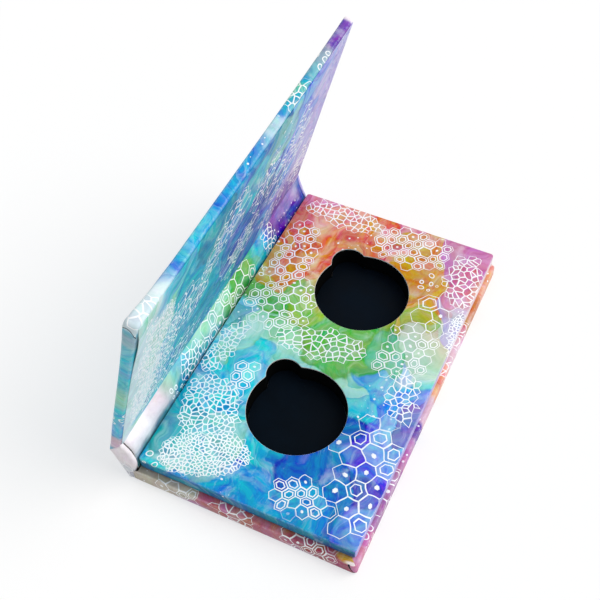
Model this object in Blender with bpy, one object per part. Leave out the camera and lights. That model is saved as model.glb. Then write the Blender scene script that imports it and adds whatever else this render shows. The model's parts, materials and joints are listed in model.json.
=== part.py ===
"""Book-style eyeshadow compact: a paper-wrapped board case around a printed tray with two round wells.

Metres, +Z up. X runs along the long side, +Y points to the spine and -Y to the free edge.
The origin is the middle of the base's underside. The case stands open, with its lid leaning
over the tray. Left and right are as seen from the free edge.
"""

import math

import bmesh
import bpy
from mathutils import Matrix, Vector

# Stock and fits
PAPER = 0.0003
SEAT_GAP = 0.0003
COVER_BOARD = 0.0012
BASE_PLY = 0.0015
CORE_PLY = 0.00135
WRAP_EDGE_RADIUS = 0.0006
WRAP_CORNER_RADIUS = 0.0012
TURN_IN = 0.010
MITRE_GAP = 0.0003
FLAP_PLY = 0.0004
FLAP_NICK = 0.0001
LINER_MARGIN = 0.0006

# Tray and its place on the base
TRAY_LENGTH = 0.102
TRAY_WIDTH = 0.0605
TRAY_EDGE_RADIUS = 0.00045
TRAY_CORNER_RADIUS = 0.0009
TRAY_TURN_IN = 0.008
LEFT_LIP = 0.0019
RIGHT_LIP = 0.0001
FREE_LIP = 0.0011

# Wells for 26 mm pans, each with a round thumb notch
PAN_DIAMETER = 0.026
PAN_CLEARANCE = 0.001
WELL_PITCH = 0.0431
WELL_SHIFT = Vector((0.0004, -0.0004))
WELL_DEPTH = 0.0055
NOTCH_RADIUS = 0.005
NOTCH_REACH = 0.0118
NOTCH_ANGLE = math.radians(42.0)
NOTCH_FILLET = 0.001

# Case joints, as the case stands open
CLOSED_GAP = 0.0003
LID_JOINT = 0.0042
LID_OVERHANG = 0.0012
SPINE_LEAN = math.radians(16.5)
LID_LEAN = math.radians(15.8)
LINER_BOW = 0.0026

# Closing magnets
MAGNET_DIAMETER = 0.008
MAGNET_SPACING = 0.066
MAGNET_FROM_EDGE = 0.007

# Facets of the curves
WELL_STEPS = 40
NOTCH_STEPS = 12
FILLET_STEPS = 3
MAGNET_STEPS = 32
BOW_STEPS = 8
CORNER_STEPS = 4
EDGE_STEPS = 4

# Sizes that follow from the above
BASE_THICKNESS = 2 * PAPER + 3 * SEAT_GAP + 2 * BASE_PLY
COVER_THICKNESS = 2 * PAPER + 2 * SEAT_GAP + COVER_BOARD
LID_THICKNESS = COVER_THICKNESS + SEAT_GAP + PAPER
TRAY_THICKNESS = 2 * PAPER + 3 * SEAT_GAP + 2 * CORE_PLY
TRAY_BOTTOM = BASE_THICKNESS + SEAT_GAP
TRAY_TOP = TRAY_BOTTOM + TRAY_THICKNESS
BASE_LENGTH = TRAY_LENGTH + LEFT_LIP + RIGHT_LIP
BASE_WIDTH = TRAY_WIDTH + FREE_LIP
TRAY_CENTRE = Vector(((LEFT_LIP - RIGHT_LIP) / 2, FREE_LIP / 2))
SPINE_HEIGHT = TRAY_TOP + CLOSED_GAP + LID_THICKNESS
SPINE_CLEARANCE = 2 * SEAT_GAP + PAPER
SPINE_AXIS_Y = BASE_WIDTH / 2 + SPINE_CLEARANCE + COVER_THICKNESS
LID_END = SPINE_AXIS_Y + BASE_WIDTH / 2 + LID_OVERHANG
WELL_RADIUS = (PAN_DIAMETER + PAN_CLEARANCE) / 2
MAGNET_Y = TRAY_CENTRE.y - TRAY_WIDTH / 2 + MAGNET_FROM_EDGE
CUT_RUN = 0.02

HALF_TURN = math.pi
QUARTER_TURN = math.pi / 2


def clear_scene():
    for item in list(bpy.data.objects):
        bpy.data.objects.remove(item, do_unlink=True)


def make_material(name, colour, roughness, metallic=0.0):
    material = bpy.data.materials.new(name)
    material.use_nodes = True
    shader = material.node_tree.nodes["Principled BSDF"]
    shader.inputs["Base Color"].default_value = (*colour, 1.0)
    shader.inputs["Roughness"].default_value = roughness
    shader.inputs["Metallic"].default_value = metallic
    return material


def make_axis(name, parent, location, lean):
    axis = bpy.data.objects.new(name, None)
    axis.parent = parent
    axis.location = location
    axis.rotation_euler.x = lean
    bpy.context.collection.objects.link(axis)
    return axis


class Place:
    """Where a piece is built: its parent, location and turn about X."""

    def __init__(self, parent=None, location=(0.0, 0.0, 0.0), turn=0.0):
        self.parent = parent
        self.location = location
        self.turn = turn


def add_object(name, form, place, material=None):
    bmesh.ops.recalc_face_normals(form, faces=form.faces)
    mesh = bpy.data.meshes.new(name)
    form.to_mesh(mesh)
    form.free()
    item = bpy.data.objects.new(name, mesh)
    item.parent = place.parent
    item.location = place.location
    item.rotation_euler.x = place.turn
    bpy.context.collection.objects.link(item)
    if material:
        mesh.materials.append(material)
        mesh.shade_smooth()
        mesh.set_sharp_from_angle(angle=math.radians(35.0))
    return item


def cut(item, form, place, label):
    """Subtract a form, built in the same place as the item, from the item."""
    cutter = add_object(f"{item.name}_{label}_cutter", form, place)
    cutter.hide_render = True
    cutter.display_type = "WIRE"
    modifier = item.modifiers.new(label, "BOOLEAN")
    modifier.operation = "DIFFERENCE"
    modifier.solver = "EXACT"
    modifier.object = cutter


def box(low, high):
    form = bmesh.new()
    bmesh.ops.create_cube(form, size=1.0)
    low, high = Vector(low), Vector(high)
    bmesh.ops.scale(form, vec=high - low, verts=form.verts)
    bmesh.ops.translate(form, vec=(low + high) / 2, verts=form.verts)
    return form


def round_edges(form, edges, radius, steps):
    bmesh.ops.bevel(
        form, geom=edges, offset=radius, segments=steps, profile=0.5, affect="EDGES", material=-1
    )


def rounded_block(low, high, corner_radius, edge_radius):
    """A block with round upright corners and, where edge_radius isn't 0, round rims."""
    form = box(low, high)
    upright = [edge for edge in form.edges if abs(edge.verts[0].co.z - edge.verts[1].co.z) > PAPER / 2]
    round_edges(form, upright, corner_radius, CORNER_STEPS)
    if edge_radius > 0:
        level = [edge for edge in form.edges if abs(edge.verts[0].co.z - edge.verts[1].co.z) < PAPER / 100]
        round_edges(form, level, edge_radius, EDGE_STEPS)
    return form


def prism(outline, bottom, top):
    """A solid with a level outline of (x, y) points."""
    form = bmesh.new()
    face = form.faces.new([form.verts.new((x, y, bottom)) for x, y in outline])
    raised = bmesh.ops.extrude_face_region(form, geom=[face])
    tops = [part for part in raised["geom"] if isinstance(part, bmesh.types.BMVert)]
    bmesh.ops.translate(form, vec=(0.0, 0.0, top - bottom), verts=tops)
    return form


def disc(centre, radius, bottom, top):
    form = bmesh.new()
    bmesh.ops.create_cone(
        form, cap_ends=True, segments=MAGNET_STEPS, radius1=radius, radius2=radius, depth=top - bottom
    )
    bmesh.ops.translate(form, vec=(centre[0], centre[1], (bottom + top) / 2), verts=form.verts)
    return form


class Panel:
    """A wrapped board lying on its outer face, with the open side or sides where its sheet runs on.

    low and high are its ends along Y. At an end that isn't folded the sheet stops, or runs on flat
    to the crease.
    """

    def __init__(self, length, low, high, thickness, folds, crease=None):
        self.half = length / 2
        self.low = low
        self.high = high
        self.thickness = thickness
        self.fold_low, self.fold_high = folds
        self.crease = crease

    def span(self, inset, run):
        """Y limits, inset at the folds and running past the open ends."""
        low = self.low + inset if self.fold_low else self.low - run
        high = self.high - inset if self.fold_high else self.high + run
        return low, high


def cut_open_end(wrap, panel, place, end, outward):
    """Stop the sheet at an open end, or leave it as a flap as far as the crease."""
    far = end + outward * 3 * CUT_RUN
    wide = panel.half + CUT_RUN
    if panel.crease is None:
        cuts = [(end, -CUT_RUN, "end")]
    else:
        cuts = [(end - outward * FLAP_NICK, FLAP_PLY, "flap"), (panel.crease, -CUT_RUN, "end")]
    for start, bottom, label in cuts:
        low = (-wide, min(start, far), bottom)
        high = (wide, max(start, far), panel.thickness + CUT_RUN)
        side = "high" if outward > 0 else "low"
        cut(wrap, box(low, high), place, f"{side}_{label}")


def cut_mitres(wrap, panel, place, turn_in, corner_radius):
    """Slit the turn-ins where they meet at each folded corner."""
    ends = []
    if panel.fold_low:
        ends.append((panel.low, -1))
    if panel.fold_high:
        ends.append((panel.high, 1))
    start, stop = -PAPER, (turn_in - corner_radius) * math.sqrt(2.0)
    for end, along in ends:
        for side in (-1, 1):
            slit = box(
                (start, -MITRE_GAP / 2, panel.thickness - PAPER - SEAT_GAP / 2),
                (stop, MITRE_GAP / 2, panel.thickness + SEAT_GAP),
            )
            bmesh.ops.rotate(slit, matrix=Matrix.Rotation(math.atan2(along, side), 3, "Z"), verts=slit.verts)
            corner = (side * (panel.half - turn_in), end - along * turn_in, 0.0)
            bmesh.ops.translate(slit, vec=corner, verts=slit.verts)
            cut(wrap, slit, place, f"mitre_{'right' if side > 0 else 'left'}_{'high' if along > 0 else 'low'}")


def make_wrap(name, panel, place, material, turn_in, corner_radius, edge_radius):
    """One sheet folded round a board: outer face, edges and mitred turn-ins on the inner face."""
    low, high = panel.span(0.0, CUT_RUN)
    form = rounded_block(
        (-panel.half, low, 0.0), (panel.half, high, panel.thickness), corner_radius, edge_radius
    )
    wrap = add_object(name, form, place, material)

    low, high = panel.span(PAPER, 2 * CUT_RUN if panel.crease is None else 0.0)
    inside = panel.half - PAPER
    cavity = rounded_block(
        (-inside, low, PAPER),
        (inside, high, panel.thickness - PAPER),
        corner_radius - PAPER,
        edge_radius - PAPER,
    )
    cut(wrap, cavity, place, "board_space")

    low, high = panel.span(turn_in, 2 * CUT_RUN)
    opening = panel.half - turn_in
    middle = panel.thickness / 2
    cut(wrap, box((-opening, low, middle), (opening, high, panel.thickness + CUT_RUN)), place, "window")
    cut_mitres(wrap, panel, place, turn_in, corner_radius)
    if not panel.fold_low:
        cut_open_end(wrap, panel, place, panel.low, -1)
    if not panel.fold_high:
        cut_open_end(wrap, panel, place, panel.high, 1)
    return wrap


def make_case_wrap(name, panel, place, material):
    return make_wrap(name, panel, place, material, TURN_IN, WRAP_CORNER_RADIUS, WRAP_EDGE_RADIUS)


def make_board(name, panel, place, material, bottom, top):
    """A board of the case that fills its panel's wrap with a gap all round."""
    inset = PAPER + SEAT_GAP
    low = panel.low + (inset if panel.fold_low else 0.0)
    high = panel.high - (inset if panel.fold_high else 0.0)
    form = rounded_block(
        (inset - panel.half, low, bottom), (panel.half - inset, high, top), WRAP_CORNER_RADIUS - inset, 0.0
    )
    return add_object(name, form, place, material)


def arc(centre, radius, start, stop, steps):
    """Points on a circle from one angle to another, with both ends."""
    points = []
    for step in range(steps + 1):
        angle = start + (stop - start) * step / steps
        points.append(centre + radius * Vector((math.cos(angle), math.sin(angle))))
    return points


def well_outline(centre, inset):
    """A well and its thumb notch, joined by fillets: three tangent circles, all moved in by inset."""
    radius = WELL_RADIUS - inset
    notch = NOTCH_RADIUS - inset
    fillet = NOTCH_FILLET + inset
    to_well = radius + fillet
    to_notch = notch + fillet
    spread = math.acos((NOTCH_REACH**2 + to_well**2 - to_notch**2) / (2 * NOTCH_REACH * to_well))
    back = math.acos((NOTCH_REACH**2 + to_notch**2 - to_well**2) / (2 * NOTCH_REACH * to_notch))
    notch_centre = centre + NOTCH_REACH * Vector((math.cos(NOTCH_ANGLE), math.sin(NOTCH_ANGLE)))
    first = NOTCH_ANGLE + spread
    last = NOTCH_ANGLE - spread + 2 * HALF_TURN
    notch_first = NOTCH_ANGLE - (HALF_TURN - back)
    notch_last = NOTCH_ANGLE + (HALF_TURN - back)
    into_notch = centre + to_well * Vector((math.cos(last), math.sin(last)))
    out_of_notch = centre + to_well * Vector((math.cos(first), math.sin(first)))

    points = arc(centre, radius, first, last, WELL_STEPS)
    points += arc(into_notch, fillet, last - HALF_TURN, notch_first + HALF_TURN, FILLET_STEPS)[1:-1]
    points += arc(notch_centre, notch, notch_first, notch_last, NOTCH_STEPS)
    points += arc(out_of_notch, fillet, notch_last - HALF_TURN, first - HALF_TURN, FILLET_STEPS)[1:-1]
    return points


def well_centres():
    middle = TRAY_CENTRE + WELL_SHIFT
    return {
        "left": middle - Vector((WELL_PITCH / 2, 0.0)),
        "right": middle + Vector((WELL_PITCH / 2, 0.0)),
    }


def magnet_places():
    return {"left": -MAGNET_SPACING / 2, "right": MAGNET_SPACING / 2}


def cut_wells(item, place):
    for side, centre in well_centres().items():
        cut(item, prism(well_outline(centre, 0.0), -CUT_RUN, CUT_RUN), place, f"{side}_well")


def cut_wells_face_down(wrap, place):
    """Punch the wells through a sheet that is built face down about the tray's centre."""
    for side, centre in well_centres().items():
        outline = [(point.x - TRAY_CENTRE.x, TRAY_CENTRE.y - point.y) for point in well_outline(centre, 0.0)]
        cut(wrap, prism(outline, -CUT_RUN, CUT_RUN), place, f"{side}_well")


def make_base(materials):
    panel = Panel(
        BASE_LENGTH, -BASE_WIDTH / 2, BASE_WIDTH / 2, BASE_THICKNESS, (True, False), SPINE_AXIS_Y
    )
    place = Place()
    make_case_wrap("base_wrap", panel, place, materials["base_print"])
    lower = PAPER + SEAT_GAP
    upper = lower + BASE_PLY + SEAT_GAP
    make_board("base_board_lower", panel, place, materials["board"], lower, lower + BASE_PLY)
    board = make_board("base_board_upper", panel, place, materials["board"], upper, upper + BASE_PLY)
    cut_wells(board, place)
    for side, centre in well_centres().items():
        form = prism(well_outline(centre, SEAT_GAP), upper, TRAY_TOP - WELL_DEPTH)
        add_object(f"well_floor_{side}", form, place, materials["floor"])

    half = panel.half - TURN_IN - SEAT_GAP
    strip = box(
        (-half, panel.high - TURN_IN, BASE_THICKNESS - PAPER), (half, panel.high, BASE_THICKNESS)
    )
    add_object("base_liner", strip, place, materials["liner"])


def make_tray(materials):
    """The tray's wrap, built face down and turned over, and the two black plies inside it."""
    panel = Panel(TRAY_LENGTH, -TRAY_WIDTH / 2, TRAY_WIDTH / 2, TRAY_THICKNESS, (True, True))
    over = Place(None, (TRAY_CENTRE.x, TRAY_CENTRE.y, TRAY_TOP), HALF_TURN)
    wrap = make_wrap(
        "tray_wrap", panel, over, materials["tray_print"], TRAY_TURN_IN, TRAY_CORNER_RADIUS, TRAY_EDGE_RADIUS
    )
    cut_wells_face_down(wrap, over)

    inset = PAPER + SEAT_GAP
    lower = TRAY_BOTTOM + inset
    upper = lower + CORE_PLY + SEAT_GAP
    place = Place()
    for name, bottom in (("tray_core_lower", lower), ("tray_core_upper", upper)):
        form = rounded_block(
            (TRAY_CENTRE.x - panel.half + inset, TRAY_CENTRE.y - TRAY_WIDTH / 2 + inset, bottom),
            (TRAY_CENTRE.x + panel.half - inset, TRAY_CENTRE.y + TRAY_WIDTH / 2 - inset, bottom + CORE_PLY),
            TRAY_CORNER_RADIUS - inset,
            0.0,
        )
        core = add_object(name, form, place, materials["core"])
        cut_wells(core, place)
        if bottom == upper:
            for side, x in magnet_places().items():
                hole = disc((x, MAGNET_Y), MAGNET_DIAMETER / 2 + SEAT_GAP, -CUT_RUN, CUT_RUN)
                cut(core, hole, place, f"{side}_magnet")
    for side, x in magnet_places().items():
        form = disc((x, MAGNET_Y), MAGNET_DIAMETER / 2, upper, upper + CORE_PLY)
        add_object(f"tray_magnet_{side}", form, place, materials["magnet"])


def make_spine(materials, spine_axis):
    """The spine's board stops short of both creases, where the flaps of base and lid turn."""
    crease_gap = FLAP_PLY + SEAT_GAP
    panel = Panel(BASE_LENGTH, crease_gap, SPINE_HEIGHT - crease_gap, COVER_THICKNESS, (False, False))
    place = Place(spine_axis, turn=QUARTER_TURN)
    make_case_wrap("spine_wrap", panel, place, materials["spine_print"])
    bottom = PAPER + SEAT_GAP
    make_board("spine_board", panel, place, materials["board"], bottom, bottom + COVER_BOARD)


def make_lid(materials, lid_axis):
    panel = Panel(BASE_LENGTH, LID_JOINT, LID_END, COVER_THICKNESS, (False, True), 0.0)
    place = Place(lid_axis, turn=QUARTER_TURN)
    make_case_wrap("lid_wrap", panel, place, materials["lid_print"])
    bottom = PAPER + SEAT_GAP
    board = make_board("lid_board", panel, place, materials["board"], bottom, bottom + COVER_BOARD)
    for side, x in magnet_places().items():
        centre = (x, SPINE_AXIS_Y - MAGNET_Y)
        hole = disc(centre, MAGNET_DIAMETER / 2 + SEAT_GAP, -CUT_RUN, CUT_RUN)
        cut(board, hole, place, f"{side}_magnet")
        form = disc(centre, MAGNET_DIAMETER / 2, bottom, bottom + COVER_BOARD)
        add_object(f"lid_magnet_{side}", form, place, materials["magnet"])
    half = panel.half - LINER_MARGIN
    liner = rounded_block(
        (-half, panel.low + LINER_MARGIN, LID_THICKNESS - PAPER),
        (half, panel.high - LINER_MARGIN, LID_THICKNESS),
        WRAP_CORNER_RADIUS - LINER_MARGIN / 2,
        0.0,
    )
    add_object("lid_liner", liner, place, materials["liner"])


def section_strip(path, half):
    """A sheet of paper, swept along X, whose section follows a path of (y, z) points."""
    sides = ([], [])
    for index, point in enumerate(path):
        before = path[max(index - 1, 0)]
        after = path[min(index + 1, len(path) - 1)]
        run = (after - before).normalized()
        across = Vector((run.y, -run.x)) * PAPER / 2
        sides[0].append(point + across)
        sides[1].append(point - across)
    section = sides[0] + sides[1][::-1]
    form = bmesh.new()
    face = form.faces.new([form.verts.new((-half, y, z)) for y, z in section])
    swept = bmesh.ops.extrude_face_region(form, geom=[face])
    ends = [part for part in swept["geom"] if isinstance(part, bmesh.types.BMVert)]
    bmesh.ops.translate(form, vec=(2 * half, 0.0, 0.0), verts=ends)
    return form


def bezier(start, start_pull, end_pull, end, steps):
    points = []
    for step in range(steps + 1):
        t = step / steps
        s = 1.0 - t
        points.append(s**3 * start + 3 * s * s * t * start_pull + 3 * s * t * t * end_pull + t**3 * end)
    return points


def turned(point, angle):
    """A (y, z) point turned about X."""
    return Matrix.Rotation(angle, 2) @ point


def make_hinge_liner(materials, spine_axis):
    """The lining between base and lid: straight beside the tray, then bowed in to the lid's foot."""
    wall_y = BASE_WIDTH / 2 + SEAT_GAP + PAPER / 2
    foot = Vector((wall_y, BASE_THICKNESS - PAPER / 2))
    fold = Vector((wall_y, TRAY_TOP - 2 * PAPER - SEAT_GAP))
    lid_origin = Vector((SPINE_AXIS_Y, 0.0)) + turned(Vector((0.0, SPINE_HEIGHT)), -SPINE_LEAN)
    lid_foot = Vector((PAPER / 2 - LID_THICKNESS, LID_JOINT + LINER_MARGIN - SEAT_GAP))
    top = lid_origin + turned(lid_foot, LID_LEAN)
    start = fold + Vector((0.0, SEAT_GAP))
    up = Vector((0.0, LINER_BOW))
    lid_foot_run = turned(Vector((0.0, -LINER_BOW)), LID_LEAN - SPINE_LEAN)
    bow = bezier(start, start + up, top + lid_foot_run, top, BOW_STEPS)

    half = BASE_LENGTH / 2 - LINER_MARGIN
    origin = Vector((SPINE_AXIS_Y, 0.0))
    place = Place(spine_axis)
    for name, path in (("lower_hinge_liner", [foot, fold]), ("upper_hinge_liner", bow)):
        upright = [turned(point - origin, SPINE_LEAN) for point in path]
        add_object(name, section_strip(upright, half), place, materials["liner"])


def make_materials():
    return {
        "base_print": make_material("base_print", (0.72, 0.42, 0.46), 0.38),
        "spine_print": make_material("spine_print", (0.80, 0.74, 0.78), 0.38),
        "lid_print": make_material("lid_print", (0.30, 0.52, 0.66), 0.38),
        "tray_print": make_material("tray_print", (0.20, 0.55, 0.62), 0.38),
        "liner": make_material("liner", (0.42, 0.74, 0.80), 0.38),
        "board": make_material("greyboard", (0.32, 0.30, 0.28), 0.95),
        "core": make_material("black_board", (0.012, 0.012, 0.014), 0.9),
        "floor": make_material("coated_steel", (0.008, 0.010, 0.016), 0.55),
        "magnet": make_material("nickel", (0.60, 0.58, 0.55), 0.3, 1.0),
    }


def main():
    clear_scene()
    materials = make_materials()
    spine_axis = make_axis("spine_axis", None, (0.0, SPINE_AXIS_Y, 0.0), -SPINE_LEAN)
    lid_axis = make_axis("lid_axis", spine_axis, (0.0, 0.0, SPINE_HEIGHT), SPINE_LEAN + LID_LEAN)
    make_base(materials)
    make_tray(materials)
    make_spine(materials, spine_axis)
    make_hinge_liner(materials, spine_axis)
    make_lid(materials, lid_axis)


main()
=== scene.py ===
"""Dresses the two-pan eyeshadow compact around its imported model."""

import json
import math

import bmesh
import bpy
from bpy.props import FloatProperty, FloatVectorProperty, PointerProperty
from mathutils import Matrix, Vector, noise


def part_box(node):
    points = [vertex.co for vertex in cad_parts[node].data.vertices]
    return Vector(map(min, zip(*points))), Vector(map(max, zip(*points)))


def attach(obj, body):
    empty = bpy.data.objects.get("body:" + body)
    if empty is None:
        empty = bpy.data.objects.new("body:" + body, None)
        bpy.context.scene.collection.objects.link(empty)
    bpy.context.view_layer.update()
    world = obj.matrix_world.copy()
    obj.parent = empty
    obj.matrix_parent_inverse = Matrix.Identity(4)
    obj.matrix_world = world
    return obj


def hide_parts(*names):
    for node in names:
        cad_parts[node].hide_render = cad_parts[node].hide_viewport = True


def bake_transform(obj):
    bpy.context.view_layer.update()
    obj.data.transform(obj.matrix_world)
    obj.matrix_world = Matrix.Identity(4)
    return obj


bl_info = {
    "name": "Eyeshadow Compact",
    "version": (1, 0, 0),
    "blender": (4, 5, 0),
    "location": "View3D > Sidebar > Compact",
    "description": "Builds the printed paper, board and wells of an eyeshadow compact",
    "category": "Object",
}

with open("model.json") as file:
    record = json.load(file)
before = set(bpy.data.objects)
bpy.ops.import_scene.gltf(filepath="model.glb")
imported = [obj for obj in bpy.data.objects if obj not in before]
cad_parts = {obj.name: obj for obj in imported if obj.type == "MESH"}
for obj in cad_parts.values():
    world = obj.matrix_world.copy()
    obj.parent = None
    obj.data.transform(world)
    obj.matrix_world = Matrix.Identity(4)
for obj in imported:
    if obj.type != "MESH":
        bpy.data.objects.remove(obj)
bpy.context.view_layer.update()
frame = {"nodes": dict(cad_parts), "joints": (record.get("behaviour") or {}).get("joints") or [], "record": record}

MM = 0.001
SHEET_UNIT = 0.01
TINY = 1e-6
QUARTER_TURN = math.pi / 2
SHEET_MAP = "sheet"
# Layer of the folds, which are paled: partly rubbed wear, partly a painted highlight along the edges.
FOLD_RUB_AND_HIGHLIGHT_LAYER = "wear"

JOINTS = {joint["name"]: joint for joint in frame["joints"]}
MOUNTS = {mount["name"]: mount for mount in frame["record"]["mounts"]}
SPINE_LEAN = math.radians(JOINTS["spine_hinge"]["range_deg"][1])
LID_LEAN = -math.radians(JOINTS["lid_hinge"]["range_deg"][0]) - SPINE_LEAN
SPINE_AXIS = Vector(JOINTS["spine_hinge"]["pos_m"])
LID_AXIS = Vector(JOINTS["lid_hinge"]["pos_m"])
SPINE_UP = Vector((0.0, math.sin(SPINE_LEAN), math.cos(SPINE_LEAN)))
LID_UP = Vector((0.0, -math.sin(LID_LEAN), math.cos(LID_LEAN)))
ALONG = Vector((1.0, 0.0, 0.0))
PANEL_UP = Vector((0.0, 1.0, 0.0))

BASE_LOW, BASE_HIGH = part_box("base_wrap")
TRAY_LOW, TRAY_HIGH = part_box("tray_wrap")
WELL_CENTRES = {
    "left": Vector(MOUNTS["pan_seat_left"]["pos_m"][:2]),
    "right": Vector(MOUNTS["pan_seat_right"]["pos_m"][:2]),
}
CASE_ENDS = (BASE_LOW.x, BASE_HIGH.x)
BASE_FREE_EDGE = BASE_LOW.y
BASE_BACK = TRAY_HIGH.y


def linear(code):
    """Turns a colour code such as 40BEC8 into the numbers that Blender works in."""
    values = [int(code[start:start + 2], 16) / 255 for start in (0, 2, 4)]
    return tuple(v / 12.92 if v <= 0.04045 else ((v + 0.055) / 1.055) ** 2.4 for v in values)


def paint(name, where, code):
    return FloatVectorProperty(
        name=name, description=where, subtype="COLOR", size=3, min=0.0, max=1.0,
        default=linear(code),
    )


def length(name, what, millimetres):
    return FloatProperty(
        name=name, description=what, subtype="DISTANCE", unit="LENGTH", min=0.0,
        default=millimetres * MM,
    )


def share(name, what, value):
    return FloatProperty(
        name=name, description=what, subtype="FACTOR", default=value, min=0.0, max=1.0
    )


def level(name, what, value):
    return FloatProperty(name=name, description=what, default=value, min=0.0)


class CompactShape(bpy.types.PropertyGroup):
    """Sizes of the folded papers that cover the compact."""

    paper: length("Paper", "Thickness of the printed paper with its laminate", 0.3)
    fold: length("Fold", "Radius of the folds over the boards' edges", 0.6)
    corner: length("Corner", "Radius of the cover's corners, seen from above", 1.2)
    tray_fold: length("Tray fold", "Radius of the folds over the tray's edges", 0.42)
    tray_corner: length("Tray corner", "Radius of the tray's corners, seen from above", 0.8)
    turn_in: length("Turn-in", "Width of the paper folded over to the inner side", 9.0)
    cover_depth: length("Cover depth", "Thickness of the lid and the spine with their paper", 2.4)
    base_depth: length("Base depth", "Thickness of the base with its paper", 4.5)
    lid_foot: length("Lid foot", "Distance of the lid's board from its crease", 4.2)
    lid_height: length("Lid height", "Distance of the lid's free edge from its crease", 66.1)
    spine_height: length("Spine height", "Distance between the two creases", 12.3)
    lining_inset: length("Lining inset", "Border that the lid's lining leaves free", 0.7)
    near_round: length("Near round", "Radius of the lid's free corner at the near end", 3.6)
    well_radius: length("Well radius", "Radius of the round pan wells", 13.5)
    notch_radius: length("Notch radius", "Radius of the thumb notches", 5.0)
    notch_reach: length("Notch reach", "Distance from a well's centre to its notch's centre", 11.8)
    notch_fillet: length("Notch fillet", "Radius where a notch meets its well", 1.0)


class CompactPalette(bpy.types.PropertyGroup):
    """Colours of the washes, the boards and the cut edges."""

    white: paint("White", "Lines and dots of the print", "FCFDFE")
    pearl: paint("Pearl", "Palest bluish wash", "DCEEF2")
    # Also painted as a highlight on the fold at the base's near free corner.
    petal: paint("Petal", "Pinkish white of the spine's ends", "FFF6FA")
    blush: paint("Blush", "Pale pinkish wash", "EFDDE2")
    shell: paint("Shell", "Pale pink wash of the base", "E6C4D4")
    mint: paint("Mint", "Pale green wash", "A8E2CC")
    aqua: paint("Aqua", "Light turquoise wash", "5ACCE0")
    turquoise: paint("Turquoise", "Main wash of the tray and the lid", "12B0CE")
    teal: paint("Teal", "Deep green-blue wash", "0093B4")
    cyan: paint("Cyan", "Strong light blue wash", "0098DC")
    sky: paint("Sky", "Soft blue wash", "66B6EC")
    periwinkle: paint("Periwinkle", "Blue-violet wash", "7C9BEA")
    cobalt: paint("Cobalt", "Deep blue wash", "0062C2")
    indigo: paint("Indigo", "Dark blue-violet wash", "4644B4")
    violet: paint("Violet", "Violet wash", "7650B0")
    lavender: paint("Lavender", "Pale violet wash", "BEB6E8")
    orchid: paint("Orchid", "Pink-violet wash", "C67EBC")
    mauve: paint("Mauve", "Dull pink-violet wash of the base", "AC74AC")
    rose: paint("Rose", "Pink wash", "D884A4")
    coral: paint("Coral", "Orange-pink wash", "DE8068")
    salmon: paint("Salmon", "Light orange-pink wash", "EAA68C")
    orange: paint("Orange", "Orange wash", "E0945C")
    apricot: paint("Apricot", "Dull orange wash of the base", "CE8458")
    # Also painted as a golden highlight on the lip at the base's near free corner.
    ochre: paint("Ochre", "Golden brown wash", "D4A652")
    lime: paint("Lime", "Yellow-green wash", "A4C860")
    leaf: paint("Leaf", "Vivid green wash", "6CBC5C")
    sage: paint("Sage", "Soft green wash", "80CCA2")
    brick: paint("Brick", "Dull red wash", "A84C60")
    taupe: paint("Taupe", "Grey-beige wash of the base", "CEC5B4")
    dusk: paint("Dusk", "Dusty rose wash of the base's near side", "C47884")
    # Also laid along the foot of the tray's near side as painted shade.
    slate: paint("Slate", "Dark slate-blue wash", "38548A")
    # Also laid low on the hinge lining's near end as painted shade beside the tray.
    mist: paint("Mist", "Grey-blue wash", "9DB4C4")
    # Partly print and partly painted shade, low on the hinge lining beside the tray.
    deep_teal: paint("Deep teal", "Darkest green-blue wash", "007A8C")
    tray_edge: paint("Tray edge", "Wash down the tray's near side", "0088B0")
    # Partly print and partly painted shade, low on the hinge lining beside the tray.
    forest: paint("Forest", "Dark green wash", "1A7C3E")
    # Painted shadow: the near-black of the strip laid along a tucked fold, standing in for the shade in its slit.
    crease: paint("Crease", "Shadowed slit along a tucked fold", "1C262E")
    paper_core: paint("Paper core", "Cut edge of the paper", "E6E4DE")
    greyboard: paint("Greyboard", "Raw board inside the covers", "9A958E")
    black_board: paint("Black board", "Dyed board round the wells", "030404")
    well_floor: paint("Well floor", "Coated discs under the pans", "020810")
    nickel: paint("Nickel", "Plate of the closing magnets", "CFCBC4")


class CompactPrint(bpy.types.PropertyGroup):
    """How the printed paper looks."""

    line: length("Line", "Half the width of the white lines", 0.17)
    drift: length("Drift", "How far the washes' outlines wander", 4.5)
    fringe: length("Fringe", "How far the washes' edges feather", 0.5)
    gloss: share("Roughness", "Roughness of the satin laminate", 0.46)
    coat: share("Laminate", "Weight of the clear laminate", 0.05)
    # Pales the folds: partly rubbed wear, partly a painted highlight along the edges.
    wear: share("Wear", "How far the folds are rubbed pale", 0.22)


class CompactStage(bpy.types.PropertyGroup):
    """Floor, light and camera."""

    sky_light: level("Sky light", "Strength of the even light", 0.5)
    key_light: level("Key light", "Strength of the wide lamp", 2.15)
    floor_glow: level("Floor glow", "Part of the floor's white that no shadow takes", 0.585)
    floor_tone: paint("Floor tone", "Part of the floor's white that shadows take", "B2ADA8")
    floor_side: length("Floor side", "Side of the floor", 6000.0)


# How softly a spot of the print ends, as a share of its reach.
SPOT_EDGE = 0.02
WHITE = (1.0, 1.0, 1.0)


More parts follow.
